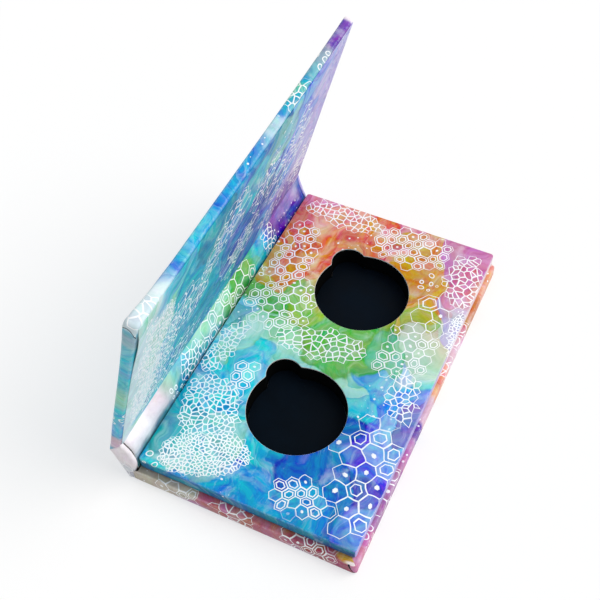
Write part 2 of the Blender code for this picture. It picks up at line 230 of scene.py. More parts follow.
class Finish:
    """The nodes of one material, or of the sky."""

    def __init__(self, owner, output="ShaderNodeOutputMaterial"):
        owner.use_nodes = True
        self.owner = owner
        self.tree = owner.node_tree
        self.tree.nodes.clear()
        self.output = self.add(output)

    def put(self, socket, value):
        if isinstance(value, bpy.types.NodeSocket):
            self.tree.links.new(value, socket)
        elif socket.type == "RGBA" and len(value) == 3:
            socket.default_value = (*value, 1.0)
        else:
            socket.default_value = value

    def add(self, kind, inputs=None, **settings):
        node = self.tree.nodes.new(kind)
        for name, value in settings.items():
            setattr(node, name, value)
        for key, value in (inputs or {}).items():
            self.put(node.inputs[key], value)
        return node

    def math(self, operation, first, second=0.0):
        return self.add("ShaderNodeMath", {0: first, 1: second}, operation=operation).outputs[0]

    def vector(self, operation, first, second=(0.0, 0.0, 0.0)):
        return self.add("ShaderNodeVectorMath", {0: first, 1: second}, operation=operation)

    def scaled(self, vector, factor):
        sockets = {0: vector, 3: factor}
        return self.add("ShaderNodeVectorMath", sockets, operation="SCALE").outputs[0]

    def straight(self, value, low, high, to_low=0.0, to_high=1.0, kind="LINEAR"):
        """Straight change from one range to another, held at its ends."""
        sockets = {0: value, 1: low, 2: high, 3: to_low, 4: to_high}
        return self.add("ShaderNodeMapRange", sockets, interpolation_type=kind).outputs[0]

    def smooth(self, value, low, high, to_low=0.0, to_high=1.0):
        """The same, with a soft start and end."""
        return self.straight(value, low, high, to_low, to_high, "SMOOTHSTEP")

    def mix(self, first, second, factor, blend="MIX"):
        sockets = {0: factor, 6: first, 7: second}
        return self.add("ShaderNodeMix", sockets, data_type="RGBA", blend_type=blend).outputs[2]

    def glaze(self, colour, factor):
        """Colour laid over itself, as where a wash pools."""
        return self.mix(colour, colour, factor, "MULTIPLY")

    def turned(self, colour, hue, depth, value):
        """Colour with its hue, depth and lightness changed. A hue of 0.5 is no change."""
        sockets = {"Hue": hue, "Saturation": depth, "Value": value, "Color": colour}
        return self.add("ShaderNodeHueSaturation", sockets).outputs[0]

    def object_place(self):
        return self.add("ShaderNodeTexCoord").outputs["Object"]

    def noise(self, place, scale, detail=2.0, roughness=0.5, dimensions="2D"):
        sockets = {"Vector": place, "Scale": scale, "Detail": detail, "Roughness": roughness}
        return self.add("ShaderNodeTexNoise", sockets, noise_dimensions=dimensions)

    def cells(self, place, scale, feature="F1", randomness=1.0):
        sockets = {"Vector": place, "Scale": scale, "Randomness": randomness}
        return self.add("ShaderNodeTexVoronoi", sockets, voronoi_dimensions="2D", feature=feature)

    def chance(self, cell):
        """Random number of each cell, from 0 to 1."""
        return self.add("ShaderNodeSeparateColor", {0: cell.outputs["Color"]}).outputs[0]

    def ramp(self, value, stops):
        node = self.add("ShaderNodeValToRGB", {0: value})
        elements = node.color_ramp.elements
        while len(elements) < len(stops):
            elements.new(1.0)
        for element, (position, colour) in zip(elements, stops):
            element.position = position
            element.color = (*colour, 1.0)
        return node.outputs[0]

    def spread(self, place, spot):
        """Distance from a spot's middle, as a share of its reach."""
        x, y, reach, across, turn = spot
        sockets = {
            "Vector": place, "Location": (x, y, 0.0), "Rotation": (0.0, 0.0, math.radians(turn)),
            "Scale": (reach, across, 1.0),
        }
        mapped = self.add("ShaderNodeMapping", sockets, vector_type="TEXTURE").outputs[0]
        return self.vector("LENGTH", mapped).outputs[1]

    def inside(self, place, spots):
        """One where a place lies in any of the spots."""
        total = None
        for spot in spots:
            mask = self.smooth(self.spread(place, spot), 1.0 + SPOT_EDGE, 1.0 - SPOT_EDGE)
            total = mask if total is None else self.math("MAXIMUM", total, mask)
        return total

    def seen(self):
        """One for rays from the camera and for those that gloss or glass sends on."""
        path = self.add("ShaderNodeLightPath").outputs
        total = path["Is Camera Ray"]
        for name in ("Is Glossy Ray", "Is Transmission Ray"):
            total = self.math("MAXIMUM", total, path[name])
        return total

    def bump(self, height, distance):
        return self.add("ShaderNodeBump", {"Height": height, "Distance": distance}).outputs[0]

    def show(self, shader):
        """Sends a shader to the output and gives what it finishes."""
        self.tree.links.new(shader.outputs[0], self.output.inputs["Surface"])
        return self.owner

    def shade(self, sockets):
        return self.show(self.add("ShaderNodeBsdfPrincipled", sockets))


# Each design is laid out flat, in centimetres. Its ramp runs along the case from the near end to
# the far end. A spot is (x, y, reach, reach across, turn in degrees), and a wash is a spot with a
# colour, a strength and a softness. Edges are washes that follow the folds, while the others
# wander. Laces, combs, rings and dots are lists of (size in millimetres, spots).
DESIGNS = {
    "tray": dict(
        ramp=[(-5.4, "cyan"), (-4.4, "turquoise"), (-3.0, "turquoise"), (-1.2, "aqua"),
              (-0.2, "mint"), (0.6, "leaf"), (1.4, "leaf"), (2.2, "ochre"), (3.0, "orange"),
              (4.0, "coral"), (5.4, "rose")],
        washes=[
            (-4.9, 0.7, 1.1, 1.7, 0, "cyan", 0.75, 0.1),
            (-4.4, 2.5, 1.1, 0.7, -30, "aqua", 0.85, 0.08),
            (-3.9, 1.9, 1.0, 1.2, 20, "mint", 0.6, 0.1),
            (-3.0, 2.9, 1.5, 0.7, 10, "teal", 0.6, 0.12),
            (-1.6, 2.1, 1.4, 0.9, -20, "aqua", 0.85, 0.08),
            (0.0, 3.0, 1.1, 0.6, 15, "sky", 0.7, 0.1),
            (-0.6, 2.5, 0.9, 0.45, -25, "mint", 0.85, 0.08),
            (-3.7, -1.9, 2.1, 1.6, 25, "cobalt", 0.95, 0.1),
            (-4.6, -1.3, 1.0, 0.8, 30, "cyan", 0.85, 0.1),
            (-4.4, -2.9, 1.0, 0.5, 12, "periwinkle", 0.85, 0.12),
            (-3.2, -2.6, 0.8, 0.6, 12, "indigo", 0.7, 0.12),
            (-1.7, -2.7, 1.7, 0.9, -8, "periwinkle", 0.95, 0.08),
            (-0.3, -1.9, 1.0, 0.8, 30, "sky", 0.9, 0.08),
            (-1.2, -3.0, 0.9, 0.3, -10, "violet", 0.7, 0.12),
            (0.4, -0.3, 1.1, 1.2, 20, "leaf", 0.9, 0.08),
            (1.2, 2.2, 1.0, 1.0, -15, "leaf", 0.85, 0.08),
            (0.9, 1.3, 0.6, 0.5, 0, "lime", 0.8, 0.1),
            (1.1, -2.5, 1.3, 0.8, -20, "pearl", 0.6, 0.1),
            (0.6, -1.4, 0.9, 0.6, 40, "sage", 0.9, 0.08),
            (1.9, -1.9, 0.5, 0.4, 0, "lime", 0.7, 0.1),
            (2.4, -2.8, 1.0, 0.5, 10, "lavender", 0.8, 0.08),
            (3.5, -1.5, 1.3, 0.9, -35, "ochre", 0.9, 0.1),
            (2.2, 2.6, 1.0, 0.7, 12, "ochre", 0.9, 0.08),
            (3.1, 2.0, 1.4, 0.9, -10, "orange", 0.95, 0.08),
            (3.9, 2.6, 0.9, 0.6, 30, "coral", 0.9, 0.08),
            (4.7, 1.7, 0.8, 1.0, 0, "salmon", 0.85, 0.1),
            (4.4, 0.3, 0.9, 0.7, 20, "orange", 0.85, 0.1),
            (4.8, -0.9, 0.7, 0.6, 0, "ochre", 0.8, 0.1),
            (4.7, -2.4, 1.3, 0.9, 15, "orchid", 0.9, 0.1),
            (3.6, -2.8, 0.8, 0.5, -10, "rose", 0.8, 0.1),
        ],
        edges=[
            (-5.55, 0.0, 0.49, 14.0, 0, "tray_edge", 1.0, 0.06),
            (-5.6, -3.1, 0.5, 1.2, 0, "slate", 0.85, 0.9),
            # Painted shade: a slate band along the foot of the tray's near side, where the gap below it is in
            # shadow.
            (-5.62, 0.0, 0.3, 14.0, 0, "slate", 0.45, 0.4),
            (0.0, -3.42, 30.0, 0.43, 0, "lavender", 0.9, 0.1),
            (3.6, -3.42, 3.6, 0.43, 0, "blush", 0.95, 0.15),
        ],
        laces=[
            (1.0, [(-4.2, 1.6, 0.64, 1.2, 25), (2.0, -2.95, 0.8, 0.25, 8)]),
            (1.4, [(-3.1, 2.05, 1.3, 0.8, 22), (-1.0, 2.7, 0.95, 0.38, -10)]),
            (1.8, [(0.15, 0.3, 0.5, 1.25, 10),
                   (3.9, -2.5, 1.0, 0.5, 10), (4.75, 1.6, 0.42, 1.25, 0),
                   (-0.5, -2.4, 0.9, 0.45, 15)]),
        ],
        combs=[
            (3.2, [(-4.3, -1.2, 0.5, 0.9, 0), (1.0, 1.9, 1.05, 1.0, 0), (0.9, -1.9, 1.1, 0.75, -15),
                   (4.4, -0.7, 0.75, 1.2, 0), (2.9, 2.45, 1.3, 0.6, 5), (-1.9, 1.8, 0.75, 0.4, 0)]),
            (5.4, [(-3.0, -2.3, 1.8, 0.85, 12), (2.3, -2.2, 0.8, 0.55, 0)]),
        ],
        rings=[(2.4, [(-2.5, 2.9, 0.35, 0.2, 10), (1.9, 3.02, 0.4, 0.15, 0),
                      (3.3, -1.55, 0.4, 0.3, -30), (-4.85, 2.75, 0.3, 0.3, 0)])],
        dots=[(2.2, [(-1.2, -2.0, 1.0, 0.6, 10), (0.2, 2.95, 1.2, 0.35, 0),
                     (-4.9, 0.75, 0.3, 0.3, 0), (3.9, 0.9, 0.6, 0.5, 0),
                     (2.9, -2.95, 1.4, 0.3, 0)])],
    ),
    "base": dict(
        ramp=[(-5.4, "shell"), (-4.4, "mauve"), (-3.0, "mauve"), (-2.2, "rose"), (-1.2, "violet"),
              (-0.6, "mauve"), (0.4, "apricot"), (1.6, "shell"), (2.4, "rose"), (3.4, "apricot"),
              (4.6, "salmon"), (5.4, "salmon")],
        washes=[
            (0.0, 0.5, 2.8, 1.4, 20, "sky", 0.8, 0.15),
            (-2.8, 1.2, 1.6, 1.3, -20, "lavender", 0.8, 0.15),
            (3.1, 1.1, 1.7, 1.1, 15, "mint", 0.8, 0.15),
            (2.0, -1.4, 1.9, 0.8, -10, "salmon", 0.8, 0.15),
            (-2.4, -1.5, 1.8, 0.9, 12, "rose", 0.7, 0.15),
        ],
        edges=[
            (-4.6, -3.4, 0.75, 0.5, 0, "rose", 0.7, 0.4),
            (-3.2, -3.4, 0.9, 0.5, 0, "mauve", 0.9, 0.3),
            (-1.7, -3.4, 0.4, 0.5, 0, "orchid", 0.6, 0.4),
            (-1.0, -3.4, 0.3, 0.5, 0, "violet", 0.8, 0.3),
            (-0.3, -3.4, 0.5, 0.5, 0, "shell", 0.9, 0.3),
            (0.7, -3.4, 0.6, 0.5, 0, "salmon", 0.9, 0.3),
            (2.0, -3.4, 0.7, 0.5, 0, "shell", 0.85, 0.4),
            (2.6, -3.4, 0.4, 0.5, 0, "rose", 0.7, 0.4),
            (3.4, -3.4, 0.7, 0.5, 0, "apricot", 0.95, 0.3),
            (4.5, -3.4, 0.6, 0.5, 0, "salmon", 0.85, 0.5),
            (-5.66, 0.0, 0.52, 1.7, 0, "dusk", 0.95, 0.3),
            (-5.66, -2.4, 0.52, 1.25, 0, "brick", 0.95, 0.4),
            (-5.66, 2.55, 0.52, 1.2, 0, "taupe", 0.98, 0.12),
            # Painted highlight: an ochre spot on the lip and a near-white tick on its fold, at the base's near
            # free corner.
            (-5.76, -2.85, 0.16, 0.36, 0, "ochre", 0.95, 0.4),
            (-5.64, -3.0, 0.06, 0.22, 0, "petal", 0.9, 0.8),
        ],
        laces=[(2.2, [(-5.6, 0.3, 0.5, 0.6, 0), (1.2, -3.3, 0.35, 0.6, 0),
                      (1.6, 0.4, 1.4, 0.8, 20)])],
        combs=[
            (3.4, [(-5.6, -1.7, 0.5, 0.7, 0), (-5.6, 1.9, 0.5, 0.7, 0)]),
            (4.6, [(-3.0, -3.3, 0.6, 0.6, 0), (2.4, -3.3, 0.6, 0.6, 0), (-2.6, 0.4, 1.5, 1.1, 0)]),
        ],
        rings=[(2.6, [(-4.3, -3.3, 0.4, 0.4, 0), (0.6, 1.8, 1.0, 0.5, 10)])],
        dots=[(2.2, [(-1.2, -3.3, 0.9, 0.5, 0), (4.6, -3.3, 0.6, 0.5, 0),
                     (-5.6, 3.0, 0.5, 0.4, 0)])],
    ),
    "lid": dict(
        ramp=[(-5.4, "teal"), (-4.6, "aqua"), (-3.6, "cyan"), (-2.0, "cyan"), (-0.8, "cyan"),
              (0.4, "cyan"), (1.2, "turquoise"), (2.0, "sage"), (2.8, "turquoise"), (3.6, "mist"),
              (4.4, "violet"), (5.0, "lavender"), (5.4, "violet")],
        washes=[
            (-2.5, 4.5, 2.2, 1.2, 25, "turquoise", 0.85, 0.12),
            (1.2, 2.2, 2.0, 1.3, -15, "cobalt", 0.75, 0.12),
            (3.4, 4.6, 1.5, 1.1, 20, "indigo", 0.7, 0.12),
            (-2.8, 1.5, 1.7, 1.0, -10, "mint", 0.7, 0.12),
            (0.6, 5.3, 1.4, 0.7, 10, "aqua", 0.8, 0.12),
        ],
        edges=[
            (-5.1, 6.85, 1.3, 0.45, 0, "pearl", 0.97, 0.5),
            (-2.6, 6.8, 0.8, 0.4, 0, "aqua", 0.5, 0.6),
            (1.0, 6.8, 0.35, 0.4, 0, "pearl", 0.6, 0.6),
            (4.5, 6.8, 0.5, 0.4, 0, "violet", 0.85, 0.4),
            (5.42, 6.7, 0.38, 0.6, 0, "petal", 0.95, 0.3),
            (-5.6, 5.95, 1.0, 0.3, 0, "mist", 0.85, 0.8),
            (-5.6, 4.95, 1.0, 0.75, 0, "aqua", 0.9, 0.6),
            (-5.6, 4.0, 1.0, 0.5, 0, "aqua", 0.8, 0.9),
            (-5.6, 3.1, 1.0, 0.6, 0, "mint", 0.95, 0.8),
            (-5.6, 2.25, 1.0, 0.45, 0, "aqua", 0.95, 0.8),
            (-5.6, 1.5, 1.0, 0.5, 0, "sky", 0.9, 0.7),
            (-5.6, 0.6, 1.0, 0.35, 0, "shell", 0.9, 0.6),
        ],
        laces=[(2.1, [(-4.75, 6.8, 0.4, 0.3, 0), (2.2, 6.8, 0.55, 0.5, 0),
                      (-2.0, 4.0, 1.5, 0.9, 20)])],
        combs=[(4.2, [(1.8, 2.4, 1.8, 1.2, 10), (3.6, 4.9, 1.0, 0.8, 0)])],
        rings=[(2.5, [(-5.4, 2.0, 0.3, 0.35, 0), (0.2, 5.0, 1.2, 0.5, 0),
                      (3.5, 6.8, 0.4, 0.3, 0)])],
        dots=[(2.2, [(-3.0, 2.0, 1.6, 1.0, 0), (0.4, 6.8, 1.0, 0.3, 0)])],
    ),
    "lid_lining": dict(
        line=1.35,
        ramp=[(-5.2, "pearl"), (-4.4, "mint"), (-3.6, "aqua"), (-2.6, "turquoise"),
              (-1.4, "turquoise"), (-0.4, "cyan"), (0.6, "teal"), (1.4, "cobalt"), (2.2, "sky"),
              (3.0, "periwinkle"), (4.0, "lavender"), (5.2, "lavender")],
        washes=[
            (-4.6, 3.4, 1.0, 3.0, -8, "pearl", 0.95, 0.3),
            (-3.9, 4.6, 0.6, 1.3, -12, "mint", 0.6, 0.3),
            (-3.1, 2.2, 0.9, 1.5, -25, "turquoise", 0.85, 0.1),
            (-2.7, 5.2, 0.8, 1.0, -20, "turquoise", 0.8, 0.1),
            (-1.8, 5.9, 0.9, 0.9, 10, "teal", 0.85, 0.1),
            (-1.2, 1.4, 1.0, 1.0, -10, "teal", 0.6, 0.1),
            (-0.9, 3.2, 0.9, 0.9, 0, "turquoise", 0.9, 0.08),
            (0.1, 3.4, 0.9, 1.1, -20, "cobalt", 0.75, 0.1),
            (0.3, 1.0, 0.8, 0.6, 10, "turquoise", 0.85, 0.08),
            (1.3, 1.3, 0.9, 0.9, 0, "cobalt", 0.8, 0.1),
            (1.8, 3.0, 0.8, 0.9, 20, "indigo", 0.5, 0.1),
            (0.2, 5.4, 0.8, 0.8, 0, "aqua", 0.8, 0.1),
            (1.6, 5.6, 0.9, 0.8, 0, "mint", 0.6, 0.12),
            (3.1, 4.9, 0.8, 1.0, 10, "periwinkle", 0.5, 0.12),
            (3.9, 1.1, 0.9, 0.7, 0, "violet", 0.8, 0.1),
            (4.2, 3.4, 0.8, 1.4, -10, "lavender", 0.6, 0.12),
        ],
        laces=[(1.5, [(-4.2, 4.5, 0.7, 1.4, -12), (-4.3, 2.5, 0.6, 1.5, -8),
                      (-3.6, 2.6, 0.5, 1.9, -14)]),
               (2.9, [(-3.4, 3.2, 0.9, 1.9, -25), (-2.6, 1.3, 1.2, 0.7, 0),
                      (-1.9, 3.6, 0.6, 1.0, -20), (1.2, 4.4, 0.7, 1.0, 0)])],
        combs=[(5.6, [(-0.7, 5.0, 1.0, 1.0, 10), (0.5, 2.3, 1.0, 0.9, 0), (2.9, 3.8, 1.0, 1.6, -10),
                      (4.4, 2.0, 0.6, 1.1, 0)])],
        rings=[(3.4, [(-4.6, 5.6, 0.4, 0.6, 0), (2.9, 1.4, 0.8, 0.6, 0)])],
        dots=[(2.6, [(-0.6, 0.9, 1.0, 0.5, 0), (1.9, 5.8, 1.2, 0.5, 0)])],
    ),
    "hinge_lining": dict(
        drift=0.35, layers=0.3,
        ramp=[(-5.2, "petal"), (-4.2, "petal"), (-3.4, "blush"), (-2.8, "mint"), (-2.2, "aqua"),
              (-1.4, "mint"), (-0.4, "mint"), (0.6, "leaf"), (1.4, "leaf"), (2.1, "aqua"),
              (2.8, "sky"), (3.3, "violet"), (4.3, "violet"), (5.2, "indigo")],
        washes=[
            # The washes low on the lining, near 1.0 across, are partly its print's deep colours and partly painted
            # shade in the crevice beside the tray.
            (-3.6, 1.1, 3.0, 0.7, 1, "mist", 0.6, 0.9),
            (-2.3, 1.08, 1.6, 0.46, -2, "turquoise", 0.7, 0.4),
            (-3.2, 1.06, 2.6, 0.46, 0, "deep_teal", 0.97, 0.7),
            (-1.9, 0.98, 1.7, 0.5, 0, "teal", 0.9, 0.45),
            (-1.0, 1.1, 1.3, 0.4, 0, "teal", 0.5, 0.5),
            (0.6, 1.1, 1.3, 0.42, 0, "forest", 0.75, 0.5),
            (-0.4, 0.2, 0.9, 0.25, 0, "mint", 0.8, 0.2),
            (2.5, 1.02, 0.8, 0.4, 0, "teal", 0.8, 0.4),
            (4.2, 0.25, 0.8, 0.3, 0, "lavender", 0.6, 0.9),
            (4.1, 1.05, 1.1, 0.5, 0, "indigo", 0.9, 0.4),
        ],
        laces=[(1.8, [(-2.0, 0.55, 0.6, 0.5, 0), (2.8, 0.5, 0.35, 0.7, 0)])],
        combs=[(4.0, [(0.2, 0.5, 1.5, 0.8, 0)])],
        rings=[(2.4, [(-2.9, 0.8, 0.4, 0.4, 0)])],
        dots=[(2.0, [(3.9, 0.7, 0.8, 0.4, 0)])],
    ),
    "spine": dict(
        layers=0.3,
        ramp=[(-5.4, "petal"), (-4.2, "petal"), (-3.5, "pearl"), (-1.5, "aqua"), (0.5, "sage"),
              (2.0, "sky"), (3.6, "periwinkle"), (5.4, "lavender")],
        washes=[
            (-2.5, 0.6, 1.2, 0.5, 5, "turquoise", 0.6, 0.15),
            (1.3, 0.5, 1.1, 0.5, -5, "leaf", 0.5, 0.15),
            (4.0, 0.6, 0.9, 0.6, 0, "violet", 0.6, 0.15),
        ],
        edges=[(-5.1, 0.2, 0.6, 0.45, 0, "mist", 0.5, 0.9)],
        laces=[(2.0, [(-5.2, 0.35, 0.6, 0.45, 0), (-0.6, 0.6, 1.4, 0.6, 0)])],
        combs=[(4.2, [(2.8, 0.6, 1.2, 0.8, 0)])],
        rings=[(2.4, [(-3.0, 0.5, 0.7, 0.4, 0)])],
        dots=[],
    ),
}

# How many layers a wash lies in, how far each is shifted, in centimetres, and how strongly the
# layers fade inwards and pool at their edges and at the washes' rims.
LAYER_COUNT = 13.0
LAYER_SHIFT = 0.65
LAYER_FADE = 0.14
LAYER_POOL = 0.35
RIM_POOL = 0.4


def crisp_layers(finish, plan, place, colour_of):
    """The ramp along the case, in crisp overlapping layers."""
    showing = plan.get("layers", 1.0)
    layers = finish.math("MULTIPLY", finish.noise(place, 0.42, 1.5).outputs[0], LAYER_COUNT)
    number = finish.math("FLOOR", layers)
    tint = finish.add("ShaderNodeTexWhiteNoise", {"W": number}, noise_dimensions="1D")
    depth = finish.math("FRACT", layers)
    along = finish.add("ShaderNodeSeparateXYZ", {0: place}).outputs[0]
    shift = LAYER_SHIFT * showing
    shifted = finish.straight(tint.outputs["Value"], 0.0, 1.0, -shift, shift)
    along = finish.math("ADD", along, shifted)
    low, high = plan["ramp"][0][0], plan["ramp"][-1][0]
    stops = [((x - low) / (high - low), colour_of(word)) for x, word in plan["ramp"]]
    colour = finish.ramp(finish.straight(along, low, high), stops)
    colour = finish.mix(colour, WHITE, finish.smooth(depth, 0.3, 1.0, 0.0, LAYER_FADE * showing))
    return finish.glaze(colour, finish.smooth(depth, 0.22, 0.02, 0.0, LAYER_POOL * showing))


def wash_colours(finish, plan, flat, place, colour_of):
    """Layered watercolour: the ramp, with the washes and then the edges over it."""
    colour = crisp_layers(finish, plan, place, colour_of)
    pooled = RIM_POOL * plan.get("layers", 1.0)
    for *spot, word, strength, soft in plan["washes"]:
        spread = finish.spread(place, spot)
        mask = finish.smooth(spread, 1.0 + soft * 0.5, 1.0 - soft * 0.5)
        body = finish.smooth(spread, 1.0, 0.1, strength, strength * 0.7)
        colour = finish.mix(colour, colour_of(word), finish.math("MULTIPLY", mask, body))
        rim = finish.math("MULTIPLY", mask, finish.smooth(spread, 0.86, 1.0, 0.0, pooled))
        colour = finish.glaze(colour, rim)
    for *spot, word, strength, soft in plan.get("edges", []):
        spread = finish.spread(flat, spot)
        laid = finish.smooth(spread, 1.0 + soft * 0.5, 1.0 - soft * 0.5, 0.0, strength)
        colour = finish.mix(colour, colour_of(word), laid)
    return blooms(finish, place, colour)


def blooms(finish, place, colour):
    """Clouds where the colours run into each other, dry out pale or pool."""
    cloud = finish.noise(place, 2.3, 5.0, 0.62)
    parts = finish.add("ShaderNodeSeparateColor", {0: cloud.outputs[1]}).outputs
    hue = finish.straight(parts[0], 0.32, 0.68, 0.46, 0.54)
    depth = finish.straight(parts[1], 0.3, 0.7, 0.88, 1.22)
    value = finish.straight(parts[2], 0.3, 0.7, 0.88, 1.05)
    colour = finish.turned(colour, hue, depth, value)
    pale = finish.noise(place, 1.1, 4.0, 0.62).outputs[0]
    colour = finish.mix(colour, WHITE, finish.smooth(pale, 0.54, 0.76, 0.0, 0.26))
    return finish.glaze(colour, finish.smooth(pale, 0.46, 0.26, 0.0, 0.35))


def brush_marks(finish, place, colour):
    """Fine streaks of the brush and the paper's tooth."""
    slanted = {"Vector": place, "Rotation": (0.0, 0.0, 0.6), "Scale": (0.8, 5.5, 1.0)}
    streaks = finish.add("ShaderNodeMapping", slanted).outputs[0]
    brushed = finish.noise(streaks, 1.6, 6.0, 0.62).outputs[0]
    colour = finish.glaze(colour, finish.smooth(brushed, 0.5, 0.72, 0.0, 0.3))
    return finish.mix(colour, WHITE, finish.smooth(brushed, 0.44, 0.28, 0.0, 0.13))


# Each ink function draws one kind of figure, with a line as wide as that share of a cell. It gives
# the ink, the part of the sheet that the figure takes, and a random number for each cell.


def lace_ink(finish, flat, scale, width, spots):
    """Net of small uneven cells."""
    edge = finish.cells(flat, scale, "DISTANCE_TO_EDGE").outputs["Distance"]
    cell = finish.cells(flat, scale)
    taken = finish.inside(cell.outputs["Position"], spots)
    line = finish.smooth(edge, width * 1.3, width * 0.7)
    return finish.math("MULTIPLY", line, taken), taken, finish.chance(cell)


# A honeycomb's repeat, in cells, and the sizes of the smaller cell and the dot inside some of them.
COMB_REPEAT = (0.5, math.sqrt(0.75), 1.0)
INNER_COMB = 0.29
COMB_DOT = (0.13, 0.09)


def comb_ink(finish, flat, scale, width, spots):
    """Honeycomb of six-sided cells, some with a smaller one or a dot inside."""
    point = finish.scaled(flat, scale)
    wrap = {1: COMB_REPEAT, 2: tuple(-side for side in COMB_REPEAT)}
    offsets = []
    for shift in ((0.0, 0.0, 0.0), COMB_REPEAT):
        moved = finish.vector("SUBTRACT", point, shift).outputs[0]
        wrapped = finish.add("ShaderNodeVectorMath", {0: moved, **wrap}, operation="WRAP")
        flat_part = finish.vector("MULTIPLY", wrapped.outputs[0], (1.0, 1.0, 0.0))
        offsets.append(flat_part.outputs[0])
    lengths = [finish.vector("LENGTH", offset).outputs[1] for offset in offsets]
    first = finish.math("LESS_THAN", lengths[0], lengths[1])
    nearer = {0: first, 4: offsets[1], 5: offsets[0]}
    offset = finish.add("ShaderNodeMix", nearer, data_type="VECTOR").outputs[1]
    middle = finish.vector("SUBTRACT", point, offset).outputs[0]
    folded = finish.vector("ABSOLUTE", offset).outputs[0]
    slanted = finish.vector("DOT_PRODUCT", folded, (0.5, math.sqrt(0.75), 0.0)).outputs[1]
    sideways = finish.add("ShaderNodeSeparateXYZ", {0: folded}).outputs[0]
    reach = finish.math("MAXIMUM", sideways, slanted)
    wall = finish.smooth(reach, 0.5 - 1.3 * width, 0.5 - 0.7 * width)
    to_middle = finish.vector("ADD", middle, (0.25, math.sqrt(0.1875), 0.0)).outputs[0]
    steady = finish.vector("SNAP", to_middle, COMB_REPEAT).outputs[0]
    random = finish.add("ShaderNodeTexWhiteNoise", {"Vector": steady}, noise_dimensions="2D")
    chance = random.outputs["Value"]
    off_inner = finish.math("ABSOLUTE", finish.math("SUBTRACT", reach, INNER_COMB))
    inner = finish.smooth(off_inner, width * 1.2, width * 0.6)
    inner = finish.math("MULTIPLY", inner, finish.math("GREATER_THAN", chance, 0.55))
    dot = finish.smooth(reach, *COMB_DOT)
    dot = finish.math("MULTIPLY", dot, finish.math("LESS_THAN", chance, 0.25))
    taken = finish.inside(finish.scaled(middle, 1.0 / scale), spots)
    drawn = finish.math("MAXIMUM", wall, finish.math("MAXIMUM", inner, dot))
    own = finish.math("FRACT", finish.math("MULTIPLY", chance, 7.3))
    return finish.math("MULTIPLY", drawn, taken), taken, own


def ring_ink(finish, flat, scale, width, spots):
    """Small rings of uneven size, clear of each other."""
    cell = finish.cells(flat, scale, "F1", 0.3)
    radius = finish.straight(finish.chance(cell), 0.0, 1.0, 0.16, 0.33)
    off = finish.math("ABSOLUTE", finish.math("SUBTRACT", cell.outputs["Distance"], radius))
    taken = finish.inside(cell.outputs["Position"], spots)
    line = finish.smooth(off, width * 1.2, width * 0.6)
    return finish.math("MULTIPLY", line, taken), taken, 0.5


def dot_ink(finish, flat, scale, width, spots):
    """Spatter of small dots."""
    cell = finish.cells(flat, scale)
    radius = finish.smooth(finish.chance(cell), 0.3, 1.0, 0.02, 0.15)
    dot = finish.smooth(finish.math("SUBTRACT", cell.outputs["Distance"], radius), 0.03, -0.03)
    taken = finish.inside(cell.outputs["Position"], spots)
    return finish.math("MULTIPLY", dot, taken), taken, 0.5


FIGURES = (("laces", lace_ink), ("combs", comb_ink), ("rings", ring_ink), ("dots", dot_ink))


def line_figures(finish, plan, place, line):
    """All the white figures. Gives their ink, and how far each cell is lighter or deeper."""
    ink, taken, shade = 0.0, 0.0, 0.0
    for kind, draw in FIGURES:
        for size, spots in plan[kind]:
            cell = size * MM
            drawn, area, chance = draw(finish, place, SHEET_UNIT / cell, line / cell, spots)
            free = finish.math("SUBTRACT", 1.0, taken)
            ink = finish.math("MAXIMUM", ink, finish.math("MULTIPLY", drawn, free))
            own = finish.math("SUBTRACT", chance, 0.5)
            own = finish.math("MULTIPLY", own, finish.math("MULTIPLY", area, free))
            shade = finish.math("ADD", shade, own)
            taken = finish.math("MAXIMUM", taken, area)
    return ink, shade


# How deep the laminate's fine relief is, and how matt and how bright its gloss is.
PAPER_RELIEF = 0.00006
LAMINATE_ROUGHNESS = 0.22
PAPER_SPECULAR = 0.2


